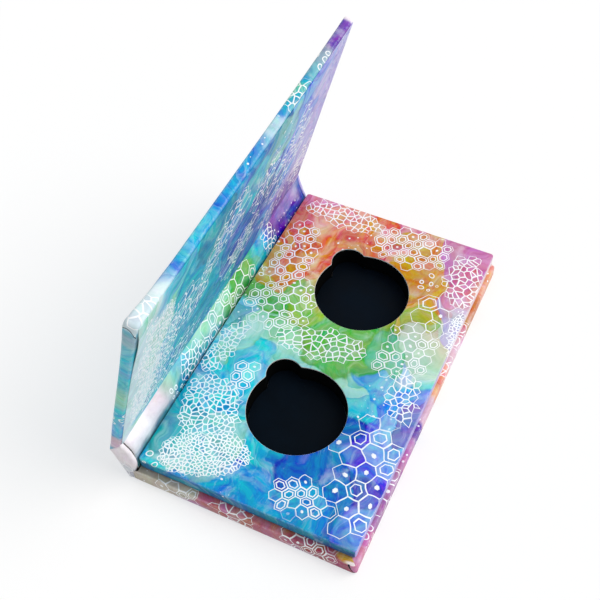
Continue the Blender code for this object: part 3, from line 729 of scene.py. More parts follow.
def printed_paper(name, design, reads_object=False):
    """Satin laminated paper with a watercolour print and white line figures."""
    colours = bpy.context.scene.compact_palette
    settings = bpy.context.scene.compact_print
    finish = Finish(bpy.data.materials.new(name))
    plan = DESIGNS[design]
    if reads_object:
        flat = finish.scaled(finish.object_place(), 1.0 / SHEET_UNIT)
    else:
        flat = finish.add("ShaderNodeUVMap", uv_map=SHEET_MAP).outputs[0]

    def wandering(place, scale, reach, detail):
        colour = finish.noise(flat, scale, detail).outputs[1]
        centred = finish.vector("SUBTRACT", colour, (0.5, 0.5, 0.5)).outputs[0]
        return finish.vector("ADD", place, finish.scaled(centred, reach / SHEET_UNIT)).outputs[0]

    def colour_of(word):
        return tuple(getattr(colours, word))

    drift = settings.drift * plan.get("drift", 1.0)
    place = wandering(flat, 0.75, 3.0 * drift, 1.5)
    place = wandering(place, 4.0, 2.0 * settings.fringe, 4.0)
    colour = brush_marks(finish, place, wash_colours(finish, plan, flat, place, colour_of))

    curved = wandering(flat, 1.3, 2.2 * MM, 1.0)
    ink, shade = line_figures(finish, plan, curved, settings.line * plan.get("line", 1.0))
    hue = finish.straight(shade, -0.5, 0.5, 0.475, 0.525)
    depth = finish.straight(shade, -0.5, 0.5, 0.92, 1.12)
    value = finish.straight(shade, 0.5, -0.5, 0.9, 1.08)
    colour = finish.turned(colour, hue, depth, value)
    worn_ink = finish.smooth(finish.noise(flat, 6.0, 3.0).outputs[0], 0.3, 0.55, 0.86, 1.0)
    colour = finish.mix(colour, colour_of("white"), finish.math("MULTIPLY", ink, worn_ink))

    grain = finish.noise(flat, 90.0, 3.0, 0.6).outputs[0]
    darker = finish.smooth(grain, 0.45, 0.75, 0.0, 0.25)
    colour = finish.mix(colour, (0.88, 0.88, 0.88), darker, "MULTIPLY")
    # The folds are paled towards pearl: partly rubbed wear, partly a painted highlight along the edges.
    if not reads_object:
        folds = finish.add("ShaderNodeAttribute", attribute_name=FOLD_RUB_AND_HIGHLIGHT_LAYER).outputs["Fac"]
        patches = finish.smooth(finish.noise(flat, 14.0, 3.0).outputs[0], 0.3, 0.7)
        rubbed_and_highlit = finish.math("MULTIPLY", folds, patches)
        rubbed_and_highlit = finish.math("MULTIPLY", rubbed_and_highlit, settings.wear)
        colour = finish.mix(colour, colour_of("pearl"), rubbed_and_highlit)
    scuffs = finish.noise(flat, 3.5, 3.0).outputs[0]
    fibre = finish.noise(flat, 9.0, 2.0).outputs[0]
    fibre = finish.math("ADD", finish.math("MULTIPLY", grain, 0.35), fibre)
    return finish.shade({
        "Base Color": colour,
        "Roughness": finish.smooth(scuffs, 0.3, 0.7, settings.gloss - 0.05, settings.gloss + 0.07),
        "Normal": finish.bump(fibre, PAPER_RELIEF),
        "Coat Weight": settings.coat,
        "Coat Roughness": LAMINATE_ROUGHNESS,
        "Specular IOR Level": PAPER_SPECULAR,
    })


# Raw boards, cut paper, painted slit shadow: colour, fleck colour, roughness, relief and specular level.
RAW_FINISHES = {
    "paper_core": ("paper_core", (0.9, 0.9, 0.88), 0.8, 0.00002, 0.3),
    "dyed_board": ("black_board", (0.004, 0.004, 0.005), 0.9, 0.00003, 0.04),
    "raw_board": ("greyboard", (0.75, 0.72, 0.66), 0.88, 0.00004, 0.3),
    # Painted shadow: a dark finish for the strips that stand in for the shade in the tucks' slits.
    "crease_shade": ("crease", (0.05, 0.06, 0.07), 0.9, 0.00002, 0.1),
}


def fibrous(name):
    """Raw board, cut paper or the painted shadow in a slit: matte, with fibres and flecks."""
    word, fleck, roughness, relief, specular = RAW_FINISHES[name]
    tone = tuple(getattr(bpy.context.scene.compact_palette, word))
    finish = Finish(bpy.data.materials.new(name))
    place = finish.object_place()
    fibres = finish.noise(place, 900.0, 4.0, 0.65, "3D").outputs[0]
    clouds = finish.noise(place, 160.0, 3.0, 0.5, "3D").outputs[0]
    deeper = tuple(0.6 * c for c in tone)
    colour = finish.mix(tone, fleck, finish.smooth(fibres, 0.5, 0.72, 0.0, 0.25))
    colour = finish.mix(colour, deeper, finish.smooth(clouds, 0.45, 0.7, 0.0, 0.5))
    return finish.shade({
        "Base Color": colour,
        "Roughness": finish.smooth(fibres, 0.3, 0.7, roughness - 0.06, roughness + 0.04),
        "Normal": finish.bump(fibres, relief),
        "Specular IOR Level": specular,
    })


def coated_disc(name):
    """Near-black coat on the discs under the pans, with faint wipe marks and dust."""
    tone = tuple(bpy.context.scene.compact_palette.well_floor)
    finish = Finish(bpy.data.materials.new(name))
    place = finish.object_place()
    clouds = finish.noise(place, 70.0, 4.0, 0.6, "3D").outputs[0]
    specks = finish.noise(place, 1500.0, 2.0, 0.5, "3D").outputs[0]
    wiped, dust = tuple(2.0 * c for c in tone), (0.03, 0.035, 0.04)
    colour = finish.mix(tone, wiped, finish.smooth(clouds, 0.4, 0.7, 0.0, 0.6))
    colour = finish.mix(colour, dust, finish.smooth(specks, 0.72, 0.8, 0.0, 0.15))
    return finish.shade({
        "Base Color": colour,
        "Roughness": finish.smooth(clouds, 0.35, 0.7, 0.5, 0.66),
        "Normal": finish.bump(specks, 0.00002),
        "Specular IOR Level": 0.05,
    })


def nickel_plate(name):
    """Bright plate of the closing magnets, with fine tumbling marks."""
    tone = tuple(bpy.context.scene.compact_palette.nickel)
    finish = Finish(bpy.data.materials.new(name))
    marks = finish.noise(finish.object_place(), 1200.0, 4.0, 0.6, "3D").outputs[0]
    worn = tuple(0.7 * c for c in tone)
    return finish.shade({
        "Base Color": finish.mix(tone, worn, finish.smooth(marks, 0.45, 0.7, 0.0, 0.6)),
        "Roughness": finish.smooth(marks, 0.3, 0.7, 0.22, 0.4),
        "Normal": finish.bump(marks, 0.00001),
        "Metallic": 1.0,
    })


def finish_named(name, make, *details):
    """A material by its name, made the first time that it is asked for."""
    return bpy.data.materials.get(name) or make(name, *details)


def print_named(design):
    return finish_named(f"{design}_paper", printed_paper, design)


def raw(name):
    return finish_named(name, fibrous)


class Panel:
    """A folded panel's own frame: x along the case, height from the crease, depth inwards."""

    def __init__(self, origin, up, inward):
        columns = (ALONG, up.normalized(), inward.normalized())
        turn = Matrix([[column[row] for column in columns] for row in range(3)]).to_4x4()
        self.matrix = Matrix.Translation(origin) @ turn
        self.mirrored = turn.determinant() < 0.0

    def settle(self, bm):
        """Moves a mesh from the panel's frame to its place on the compact."""
        bmesh.ops.transform(bm, matrix=self.matrix, verts=bm.verts[:])
        if self.mirrored:
            bmesh.ops.reverse_faces(bm, faces=bm.faces[:])


TRAY_MIDDLE = Vector((0.0, 0.0, TRAY_HIGH.z))
BASE_PANEL = Panel(SPINE_AXIS, Vector((0.0, -1.0, 0.0)), Vector((0.0, 0.0, 1.0)))
SPINE_PANEL = Panel(SPINE_AXIS, SPINE_UP, ALONG.cross(SPINE_UP))
LID_PANEL = Panel(LID_AXIS, LID_UP, ALONG.cross(LID_UP))
TRAY_PANEL = Panel(TRAY_MIDDLE, PANEL_UP, Vector((0.0, 0.0, -1.0)))

# Faces that meet at less than this angle are shaded as one surface.
SMOOTH_BELOW = math.radians(35.0)


def add_piece(name, bm, materials, body, replaces=(), paper=0.0):
    """Makes an object of a finished mesh, which rides on a body where one is named."""
    mesh = bpy.data.meshes.new(name)
    bm.to_mesh(mesh)
    bm.free()
    for material in materials:
        mesh.materials.append(material)
    mesh.shade_smooth()
    mesh.set_sharp_from_angle(angle=SMOOTH_BELOW)
    piece = bpy.data.objects.new(name, mesh)
    bpy.context.scene.collection.objects.link(piece)
    if paper:
        wall = piece.modifiers.new("paper", "SOLIDIFY")
        wall.thickness = paper
        wall.offset = -1.0
        wall.use_even_offset = True
        wall.material_offset_rim = len(materials) - 1
    if replaces:
        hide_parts(*replaces)
    if body:
        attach(piece, body)
    return piece


def apply_modifiers(piece):
    """Puts the modifiers' result in the mesh."""
    graph = bpy.context.evaluated_depsgraph_get()
    mesh = bpy.data.meshes.new_from_object(piece.evaluated_get(graph))
    piece.modifiers.clear()
    piece.data = mesh
    mesh.name = piece.name


def verts_in(made):
    return [item for item in made if isinstance(item, bmesh.types.BMVert)]


def round_off(bm, edges, radius, segments, clamp=False):
    bmesh.ops.bevel(
        bm, geom=edges, offset=radius, segments=segments, affect="EDGES", profile=0.5,
        material=-1, clamp_overlap=clamp,
    )


def cut_along(bm, parts, point, direction):
    bmesh.ops.bisect_plane(bm, geom=parts, plane_co=point, plane_no=direction, dist=TINY)


def thicken(bm, faces, reach):
    """Gives flat faces a depth, as a closed solid."""
    made = bmesh.ops.extrude_face_region(bm, geom=faces, use_keep_orig=True)["geom"]
    bmesh.ops.translate(bm, verts=verts_in(made), vec=reach)


def face_towards(bm, direction):
    """Turns an open sheet over where its first face looks the other way."""
    bm.normal_update()
    if bm.faces[:][0].normal.dot(direction) < 0.0:
        bmesh.ops.reverse_faces(bm, faces=bm.faces[:])


def along_curve(points, t):
    """Smooth curve through all the points, for t from 0 to 1."""
    last = len(points) - 1
    index = min(int(t * last), last - 1)
    u = t * last - index
    before, first, second, after = (
        Vector(points[max(0, min(index + step, last))]) for step in (-1, 0, 1, 2)
    )
    return 0.5 * (
        2 * first + (second - before) * u + (2 * before - 5 * first + 4 * second - after) * u ** 2
        + (3 * first - before - 3 * second + after) * u ** 3
    )


# A face whose normal has at least this much of a direction faces that way.
FACING = 0.95
CORNER_STEPS, FOLD_STEPS = 6, 4
# An open side has no fold. Its edge is taken to be this far away, in metres.
FAR_OFF = 1.0


def unrolled(place, depth, low, high, thickness, radius):
    """Place along the flat sheet, for a point that far across a panel and that deep."""
    upper = place > (low + high) / 2
    edge, sign = (high, 1.0) if upper else (low, -1.0)
    beyond = sign * (place - edge) + radius
    if depth <= radius and beyond <= 0.0:
        return place
    quarter = radius * QUARTER_TURN
    if depth < radius:
        run = radius * math.atan2(beyond, radius - depth)
    elif depth <= thickness - radius:
        run = quarter + depth - radius
    elif beyond > 0.0:
        turned_in = radius * math.atan2(depth - thickness + radius, beyond)
        run = quarter + thickness - 2 * radius + turned_in
    else:
        run = 2 * quarter + thickness - 2 * radius - beyond
    return edge + sign * (run - radius)


class Cover:
    """Paper folded round a board, in its panel's frame, open inside between its turn-ins."""

    def __init__(
        self, ends, heights, depth, fold, corner, turn_in, open_low=False, open_high=False
    ):
        self.ends, self.heights, self.depth = ends, heights, depth
        self.fold, self.corner, self.turn_in = fold, corner, turn_in
        self.open_low, self.open_high = open_low, open_high

    def folded(self):
        """The cover's mesh, without a face on its open sides, its folds marked for wear and painted highlight."""
        (near, far), (low, high) = self.ends, self.heights
        bm = bmesh.new()
        size = Matrix.Diagonal((far - near, high - low, self.depth, 1.0))
        middle = Matrix.Translation(((near + far) / 2, (low + high) / 2, self.depth / 2))
        bmesh.ops.create_cube(bm, size=1.0, matrix=middle @ size)
        bm.normal_update()
        gone = [
            f for f in bm.faces
            if (self.open_low and f.normal.y < -FACING) or (self.open_high and f.normal.y > FACING)
        ]
        bmesh.ops.delete(bm, geom=gone, context="FACES_ONLY")
        shared = [e for e in bm.edges if len(e.link_faces) == 2]
        upright = [e for e in shared if abs(e.verts[0].co.z - e.verts[1].co.z) > self.depth / 2]
        if upright:
            round_off(bm, upright, self.corner, CORNER_STEPS)
        bm.normal_update()
        rims = [
            e for e in bm.edges if len(e.link_faces) == 2
            and sorted(round(abs(f.normal.z)) for f in e.link_faces) == [0, 1]
        ]
        round_off(bm, rims, self.fold, FOLD_STEPS)
        bm.normal_update()
        # Marks the rounded folds, to be paled as wear and as a painted highlight.
        wear = bm.verts.layers.float.new(FOLD_RUB_AND_HIGHLIGHT_LAYER)
        for vert in bm.verts:
            rounded = all(1.0 - FACING < abs(f.normal.z) < FACING for f in vert.link_faces)
            vert[wear] = 1.0 if rounded else 0.0
        self.cut_turn_ins(bm)
        return bm

    def cut_turn_ins(self, bm):
        """Cuts the inner side along the turn-ins and their mitres, and opens what lies between."""
        (near, far), (low, high), turn_in = self.ends, self.heights, self.turn_in

        def inner_part(wanted=lambda centre: True):
            faces = [f for f in bm.faces if f.normal.z > FACING and wanted(f.calc_center_median())]
            return list({item for f in faces for item in (f, *f.edges, *f.verts)})

        cuts = [(Vector((near + turn_in, 0, 0)), ALONG), (Vector((far - turn_in, 0, 0)), ALONG)]
        corners = []
        if not self.open_high:
            cuts.append((Vector((0, high - turn_in, 0)), PANEL_UP))
            corners += [(near, high), (far, high)]
        if not self.open_low:
            cuts.append((Vector((0, low + turn_in, 0)), PANEL_UP))
            corners += [(near, low), (far, low)]
        for point, direction in cuts:
            cut_along(bm, inner_part(), point, direction)
        for x, h in corners:
            lean = 1.0 if (x > 0) == (h == high) else -1.0
            corner = inner_part(lambda c: abs(c.x - x) < turn_in and abs(c.y - h) < turn_in)
            cut_along(bm, corner, Vector((x, h, 0)), Vector((1.0, -lean, 0.0)))
        open_faces = []
        for f in bm.faces:
            c = f.calc_center_median()
            clear = c.x - near > turn_in and far - c.x > turn_in
            clear = clear and (self.open_high or high - c.y > turn_in)
            clear = clear and (self.open_low or c.y - low > turn_in)
            if f.normal.z > FACING and clear:
                open_faces.append(f)
        bmesh.ops.delete(bm, geom=open_faces, context="FACES")

    def lay_print(self, bm, to_sheet):
        """Gives every face its place on the flat printed sheet."""
        (near, far), (low, high) = self.ends, self.heights
        low -= FAR_OFF if self.open_low else 0.0
        high += FAR_OFF if self.open_high else 0.0
        sheet = bm.loops.layers.uv.new(SHEET_MAP)
        for face in bm.faces:
            centre = face.calc_center_median()
            to_end = min(centre.x - near, far - centre.x)
            to_side = min(centre.y - low, high - centre.y)
            for loop in face.loops:
                x, h, deep = loop.vert.co
                if to_end < to_side:
                    x = unrolled(x, deep, near, far, self.depth, self.fold)
                else:
                    h = unrolled(h, deep, low, high, self.depth, self.fold)
                loop[sheet].uv = to_sheet(x, h)


def case_cover(shape, heights, depth, **open_sides):
    """The cover of the base, the spine or the lid."""
    return Cover(CASE_ENDS, heights, depth, shape.fold, shape.corner, shape.turn_in, **open_sides)


def carry_on(bm, at, reach, deepest):
    """Carries a sheet's open edge on, at the depths above the deepest, as far as reach says."""
    edges = [
        e for e in bm.edges
        if e.is_boundary and all(abs(v.co.y - at) < TINY and v.co.z < deepest for v in e.verts)
    ]
    for vert in verts_in(bmesh.ops.extrude_edge_only(bm, edges=edges)["geom"]):
        vert.co.y = reach(vert.co)
    bmesh.ops.remove_doubles(bm, verts=bm.verts[:], dist=TINY)


def in_sheet_units(x, h):
    return (x / SHEET_UNIT, h / SHEET_UNIT)


def on_base_sheet(x, h):
    return (x / SHEET_UNIT, (SPINE_AXIS.y - h) / SHEET_UNIT)


# Width of the paper tucked round a free corner, as (part of the board's depth, millimetres), from
# the outer face to the inner one. The parts are evenly spaced.
BASE_TUCK = [(0.0, 0.3), (0.25, 0.95), (0.5, 1.55), (0.75, 2.0), (1.0, 2.3)]
LID_TUCK = [(0.0, 2.6), (0.25, 1.7), (0.5, 1.7), (0.75, 2.4), (1.0, 4.0)]
# The tucked paper's rows over the board's depth, its steps up to the paper's edge and up to the end of
# the painted slit shadow behind it, how far before the corner it starts, and its thickness.
TUCK_ROWS, TUCK_LIP, TUCK_STEPS = 14, 16, 18
TUCK_START = -1.6 * MM
TUCK_PAPER = 0.12 * MM


def tuck_place(step, t, stop):
    """How far round the corner a step of the tuck lies, and how far off the cover it stands."""
    # Width of the dark strip painted as the shadow in the slit behind the tuck's edge.
    dark = (0.36 + 0.3 * t) * MM
    if step > TUCK_LIP:
        return (stop if step == TUCK_STEPS else stop - dark + 0.02 * MM), 0.06 * MM
    part = step / TUCK_LIP
    lift = (0.16 * part ** 2 - 0.1 * (1.0 - part) ** 2) * MM
    return TUCK_START + part * (stop - dark - TUCK_START), lift


def fold_inset(deep, depth, fold):
    """How far a cover's rounded folds lie inside its edge, at that depth."""
    gap = max(fold - deep, deep - (depth - fold), 0.0)
    return fold - math.sqrt(max(fold ** 2 - gap ** 2, 0.0))


def round_corner(run, out, corner):
    """Place round a corner, outwards and up from its centre, for a run past the corner's start."""
    quarter = corner * QUARTER_TURN
    if run < 0.0:
        return run, out
    if run < quarter:
        return out * math.sin(run / corner), out * math.cos(run / corner)
    return out, quarter - run


def corner_tucks(cover, panel, widths, to_sheet, part, moved=None):
    """The free side's paper, folded round its corners on to the end walls, with a painted slit shadow."""
    high, depth, fold, corner = cover.heights[1], cover.depth, cover.fold, cover.corner
    bm = bmesh.new()
    sheet = bm.loops.layers.uv.new(SHEET_MAP)
    for side, x_edge in zip((-1.0, 1.0), cover.ends):
        grid = bmesh.ops.create_grid(bm, x_segments=TUCK_STEPS, y_segments=TUCK_ROWS, size=0.5)
        corner_x, corner_h = x_edge - side * corner, high - corner
        places, slit = {}, set()
        for vert in grid["verts"]:
            step, t = round((vert.co.x + 0.5) * TUCK_STEPS), vert.co.y + 0.5
            if step > TUCK_LIP:
                slit.add(vert)
            deep = depth * (0.03 + 0.94 * t)
            stop = corner * QUARTER_TURN - corner + along_curve(widths, t).y * MM
            run, lift = tuck_place(step, t, stop)
            inset = fold_inset(deep, depth, fold)
            across, up = round_corner(run, corner + lift - inset, corner)
            x, h = corner_x + side * across, corner_h + up
            vert.co = moved(x, h, deep) if moved else (x, h, deep)
            strip = unrolled(high - inset, deep, high - FAR_OFF, high, depth, fold)
            places[vert] = to_sheet(corner_x + side * run, strip)
        for face in {f for v in grid["verts"] for f in v.link_faces}:
            # Faces of the strip past the lip take the painted slit shadow.
            face.material_index = 1 if any(v in slit for v in face.verts) else 0
            for loop in face.loops:
                loop[sheet].uv = places[loop.vert]
    bmesh.ops.recalc_face_normals(bm, faces=bm.faces[:])
    for face in bm.faces:
        over_side = abs(face.normal.y) > abs(face.normal.x)
        end = math.copysign(1.0, face.calc_center_median().x)
        if face.normal.dot(PANEL_UP if over_side else ALONG * end) < 0.0:
            face.normal_flip()
    panel.settle(bm)
    materials = [print_named(part), raw("crease_shade"), raw("paper_core")]
    add_piece(f"{part}_corner_tucks", bm, materials, part, paper=TUCK_PAPER)


# The way that the notches point from their wells, the steps of an outline's arcs, the smallest
# rounding between well and notch, and the distance within which an outline's points are joined.
NOTCH_TURN = math.radians(42.0)
WELL_STEPS, FILLET_STEPS, NOTCH_STEPS = 72, 8, 32
LEAST_FILLET = 0.3 * MM
OUTLINE_JOIN = 0.02 * MM


def well_outline(bm, centre, height, grow):
    """Draws a well with its thumb notch, grown outwards by a little."""
    shape = bpy.context.scene.compact_shape
    well, notch = shape.well_radius + grow, shape.notch_radius + grow
    fillet = max(shape.notch_fillet - grow, LEAST_FILLET)
    reach = shape.notch_reach
    far, near = well + fillet, notch + fillet
    at_well = math.acos((far ** 2 + reach ** 2 - near ** 2) / (2 * far * reach))
    at_notch = math.pi - math.acos((near ** 2 + reach ** 2 - far ** 2) / (2 * near * reach))
    middle = Vector((centre.x, centre.y, height))

    def at(distance, angle):
        return middle + distance * Vector((math.cos(angle), math.sin(angle), 0.0))

    tip = bm.verts.new(at(well, NOTCH_TURN + at_well))
    for origin, angle, steps in (
        (middle, 2 * (math.pi - at_well), WELL_STEPS),
        (at(far, NOTCH_TURN - at_well), at_well - at_notch, FILLET_STEPS),
        (at(reach, NOTCH_TURN), 2 * at_notch, NOTCH_STEPS),
        (at(far, NOTCH_TURN + at_well), at_well - at_notch, FILLET_STEPS),
    ):
        arc = bmesh.ops.spin(
            bm, geom=[tip], cent=origin, axis=Vector((0.0, 0.0, 1.0)), angle=angle, steps=steps,
            use_merge=False,
        )
        tip = verts_in(arc["geom_last"])[0]


def well_loop(bm, centre, height, grow=0.0):
    """Edges of a well's closed outline."""
    before = set(bm.edges)
    well_outline(bm, centre, height, grow)
    verts = list({v for e in bm.edges if e not in before for v in e.verts})
    bmesh.ops.remove_doubles(bm, verts=verts, dist=OUTLINE_JOIN)
    return [e for e in bm.edges if e not in before]


def punched_board(bm, low, high):
    """Solid board with the wells punched through it."""
    corners = [
        bm.verts.new((x, y, high.z))
        for x, y in ((low.x, low.y), (high.x, low.y), (high.x, high.y), (low.x, high.y))
    ]
    edges = [bm.edges.new((corners[i], corners[(i + 1) % 4])) for i in range(4)]
    for centre in WELL_CENTRES.values():
        edges += well_loop(bm, centre, high.z)
    filled = bmesh.ops.triangle_fill(bm, use_beauty=True, edges=edges)["geom"]
    faces = [item for item in filled if isinstance(item, bmesh.types.BMFace)]
    thicken(bm, faces, (0.0, 0.0, low.z - high.z))


# How far from the spine's crease the base's end walls stop. Only the outer face runs on from there.
END_WALL_STOP = 2.1 * MM


class COMPACT_OT_base_cover(bpy.types.Operator):
    """Fold the printed paper round the base"""

    bl_idname = "compact.base_cover"
    bl_label = "Base cover"

    def execute(self, context):
        shape = context.scene.compact_shape
        heights = (SPINE_AXIS.y - BASE_BACK, SPINE_AXIS.y - BASE_FREE_EDGE)
        cover = case_cover(shape, heights, shape.base_depth, open_low=True)
        bm = cover.folded()
        carry_on(bm, heights[0], lambda co: END_WALL_STOP, cover.depth - TINY)
        carry_on(bm, END_WALL_STOP, lambda co: 0.0, TINY)
        cover.lay_print(bm, on_base_sheet)
        BASE_PANEL.settle(bm)
        materials = [print_named("base"), raw("paper_core")]
        add_piece("base_cover", bm, materials, "base", ["base_wrap"], shape.paper)
        corner_tucks(cover, BASE_PANEL, BASE_TUCK, on_base_sheet, "base")
        return {"FINISHED"}


TRAY_TURN_IN = 8.0 * MM
# The paper's edge round a well, as (depth, growth) in millimetres: rolled over, cut and hanging in.
WELL_RIM = ((0.0, 0.16), (0.04, 0.05), (0.1, 0.0), (0.5, 0.0))


class COMPACT_OT_tray_cover(bpy.types.Operator):
    """Fold the printed paper round the tray and punch its wells"""

    bl_idname = "compact.tray_cover"
    bl_label = "Tray cover"

    def execute(self, context):
        shape = context.scene.compact_shape
        ends, heights = (TRAY_LOW.x, TRAY_HIGH.x), (TRAY_LOW.y, TRAY_HIGH.y)
        depth = TRAY_HIGH.z - TRAY_LOW.z
        cover = Cover(ends, heights, depth, shape.tray_fold, shape.tray_corner, TRAY_TURN_IN)
        bm = cover.folded()
        top = [f for f in bm.faces if f.normal.z < -FACING]
        rim = [e for e in bm.edges if sum(f in top for f in e.link_faces) == 1]
        bmesh.ops.delete(bm, geom=top, context="FACES_ONLY")
        cut_faces = []
        for centre in WELL_CENTRES.values():
            rings = [well_loop(bm, centre, deep * MM, grow * MM) for deep, grow in WELL_RIM]
            rim += rings[0]
            for place, pair in enumerate(zip(rings, rings[1:])):
                made = bmesh.ops.bridge_loops(bm, edges=pair[0] + pair[1])["faces"]
                cut_faces += made if place > 0 else []
        bmesh.ops.triangle_fill(bm, use_beauty=True, edges=rim)
        for face in cut_faces:
            face.material_index = 1
        bmesh.ops.recalc_face_normals(bm, faces=bm.faces[:])
        cover.lay_print(bm, in_sheet_units)
        TRAY_PANEL.settle(bm)
        self.face_up(bm)
        materials = [print_named("tray"), raw("paper_core")]
        add_piece("tray_cover", bm, materials, "base", ["tray_wrap"], shape.paper)
        return {"FINISHED"}

    def face_up(self, bm):
        """Turns a mesh right side out, told by its highest faces."""
        top = max(f.calc_center_median().z for f in bm.faces)
        highest = [f for f in bm.faces if abs(f.calc_center_median().z - top) < TINY]
        bm.normal_update()
        if sum(f.normal.z * f.calc_area() for f in highest) < 0.0:
            bmesh.ops.reverse_faces(bm, faces=bm.faces[:])


# The tray's plies: the gaps under and over them, the height of the seam between them and half of
# its gap. Then the width and the foot of the ring that carries each well's wall down from them.
UNDER_PLIES, OVER_PLIES = 0.3 * MM, 0.42 * MM
PLY_SEAM, HALF_SEAM = 6.9 * MM, 0.02 * MM
RING_WIDTH, RING_FOOT = 1.6 * MM, 3.95 * MM


class COMPACT_OT_tray_boards(bpy.types.Operator):
    """Punch the two black plies of the tray"""

    bl_idname = "compact.tray_boards"
    bl_label = "Tray boards"

    def execute(self, context):
        for node, bottom, top in (
            ("tray_core_lower", TRAY_LOW.z + UNDER_PLIES, PLY_SEAM - HALF_SEAM),
            ("tray_core_upper", PLY_SEAM + HALF_SEAM, TRAY_HIGH.z - OVER_PLIES),
        ):
            low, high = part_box(node)
            bm = bmesh.new()
            punched_board(bm, Vector((low.x, low.y, bottom)), Vector((high.x, high.y, top)))
            if node == "tray_core_lower":
                for centre in WELL_CENTRES.values():
                    self.carry_wall_down(bm, centre, bottom)
            bmesh.ops.recalc_face_normals(bm, faces=bm.faces[:])
            name = node.replace("core", "board")
            add_piece(name, bm, [raw("dyed_board")], "base", [node])
        return {"FINISHED"}

    def carry_wall_down(self, bm, centre, bottom):
        edges = well_loop(bm, centre, bottom) + well_loop(bm, centre, bottom, RING_WIDTH)
        ring = bmesh.ops.bridge_loops(bm, edges=edges)["faces"]
        thicken(bm, ring, (0.0, 0.0, RING_FOOT - bottom))


class COMPACT_OT_spine_cover(bpy.types.Operator):
    """Fold the printed paper round the spine"""

    bl_idname = "compact.spine_cover"
    bl_label = "Spine cover"

    def execute(self, context):
        shape = context.scene.compact_shape
        heights = (0.0, shape.spine_height)
        cover = case_cover(shape, heights, shape.cover_depth, open_low=True, open_high=True)
        bm = cover.folded()
        cover.lay_print(bm, in_sheet_units)
        SPINE_PANEL.settle(bm)
        materials = [print_named("spine"), raw("paper_core")]
        add_piece("spine_cover", bm, materials, "spine", ["spine_wrap"], shape.paper)
        return {"FINISHED"}


def bend_across(piece, pair, bend):
    """Puts a piece's place into its mesh; the bodies and the bend's points that it is given are not used."""
    start, end = ((0.0, y * MM, z * MM) for y, z in bend)
    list(pair)
    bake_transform(piece)
    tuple(start)
    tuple(end)


# Cross-sections of the folded ends of the spine, (y, z) in millimetres, from the lower crease up
# the outer side, over the lid's foot and down the inner side. Each end is parted at the inner point
# numbered split: below it lies the part from the base to the spine, and above it the part on to the lid.
OUTER_SIDE = [(34.05, 0.05), (35.1, 3.9), (36.2, 7.5), (37.6, 11.75)]
END_FOLDS = {
    "near": dict(
        outside=-52.12, inside=-50.95, split=5,
        inner=[(33.4, 16.8), (32.7, 15.8), (31.9, 14.7), (31.2, 13.4), (30.8, 11.8), (30.6, 10.8),
               (30.5, 9.9), (30.5, 9.1), (30.5, 8.3), (30.8, 6.6), (31.3, 4.9), (31.9, 3.0),
               (32.0, 0.05)],
        lower_bend=((33.9, 0.0), (34.59, 0.276)), upper_bend=((32.5, 10.9), (32.5, 15.5)),
    ),
    "far": dict(
        outside=52.1, inside=50.95, split=4,
        inner=[(33.9, 16.4), (33.7, 15.2), (33.4, 13.8), (33.0, 12.4), (32.5, 10.9), (32.0, 9.6),
               (31.5, 8.4), (31.2, 6.8), (31.1, 4.9), (31.7, 3.0), (32.0, 0.05)],
        lower_bend=((34.3, 0.0), (36.283, 0.793)), upper_bend=((32.5, 11.0), (32.5, 15.0)),
    ),
}
END_ROUNDING, END_STEPS = 0.8 * MM, 5


class COMPACT_OT_spine_ends(bpy.types.Operator):
    """Fold the paper over both ends of the spine"""

    bl_idname = "compact.spine_ends"
    bl_label = "Spine ends"

    def execute(self, context):
        for end, plan in END_FOLDS.items():
            inner, split = plan["inner"], plan["split"]
            seam = {(round(y, 2), round(z, 2)) for y, z in (OUTER_SIDE[2], inner[split])}
            for part, outline, pair in (
                ("lower", OUTER_SIDE[:3] + inner[split:], ("base", "spine")),
                ("upper", OUTER_SIDE[2:] + inner[:split + 1], ("spine", "lid")),
            ):
                bm = self.folded(plan["outside"] * MM, plan["inside"] * MM, outline, seam)
                name = f"spine_{end}_end_{part}"
                piece = add_piece(name, bm, [print_named("spine")], None)
                bend_across(piece, pair, plan[f"{part}_bend"])
        return {"FINISHED"}

    def folded(self, outside, inside, outline, seam):
        """One half of an end, rounded where its outer side isn't joined to the other half."""
        bm = bmesh.new()
        face = bm.faces.new([bm.verts.new((outside, y * MM, z * MM)) for y, z in outline])
        thicken(bm, [face], (inside - outside, 0.0, 0.0))
        bmesh.ops.recalc_face_normals(bm, faces=bm.faces[:])
        bm.normal_update()

        def on_seam(vert):
            return (round(vert.co.y / MM, 2), round(vert.co.z / MM, 2)) in seam

        rims = [
            e for e in bm.edges
            if all(abs(v.co.x - outside) < TINY for v in e.verts) and not all(map(on_seam, e.verts))
        ]
        round_off(bm, rims, END_ROUNDING, END_STEPS, clamp=True)
        sheet = bm.loops.layers.uv.new(SHEET_MAP)
        for loop in (loop for f in bm.faces for loop in f.loops):
            x, y, z = loop.vert.co
            loop[sheet].uv = ((x - (y - SPINE_AXIS.y)) / SHEET_UNIT, z / SHEET_UNIT)
        return bm


def falling(distance, reach):
    """One at no distance, and less and less further off."""
    return math.exp(-distance / reach)


# The inner side of the lid stands proud at the near end of its foot.
SWELL = 0.5 * MM
SWELL_ALONG, SWELL_UP = 6.0 * MM, 14.0 * MM
# The paper rises past the board's free edge towards the far corner, from this height up.
RISE = 1.9 * MM
RISE_ALONG, RISE_START, RISE_POWER = 17.0 * MM, 30.0 * MM, 1.5
# The outer face stands off the board at the near end, and more at the free corner.
PUFF, PUFF_STARTS_OVER = 0.35 * MM, 12.0 * MM
CORNER_PUFF, CORNER_PUFF_DOWN = 0.95 * MM, 11.0 * MM
PUFF_ALONG = 7.0 * MM
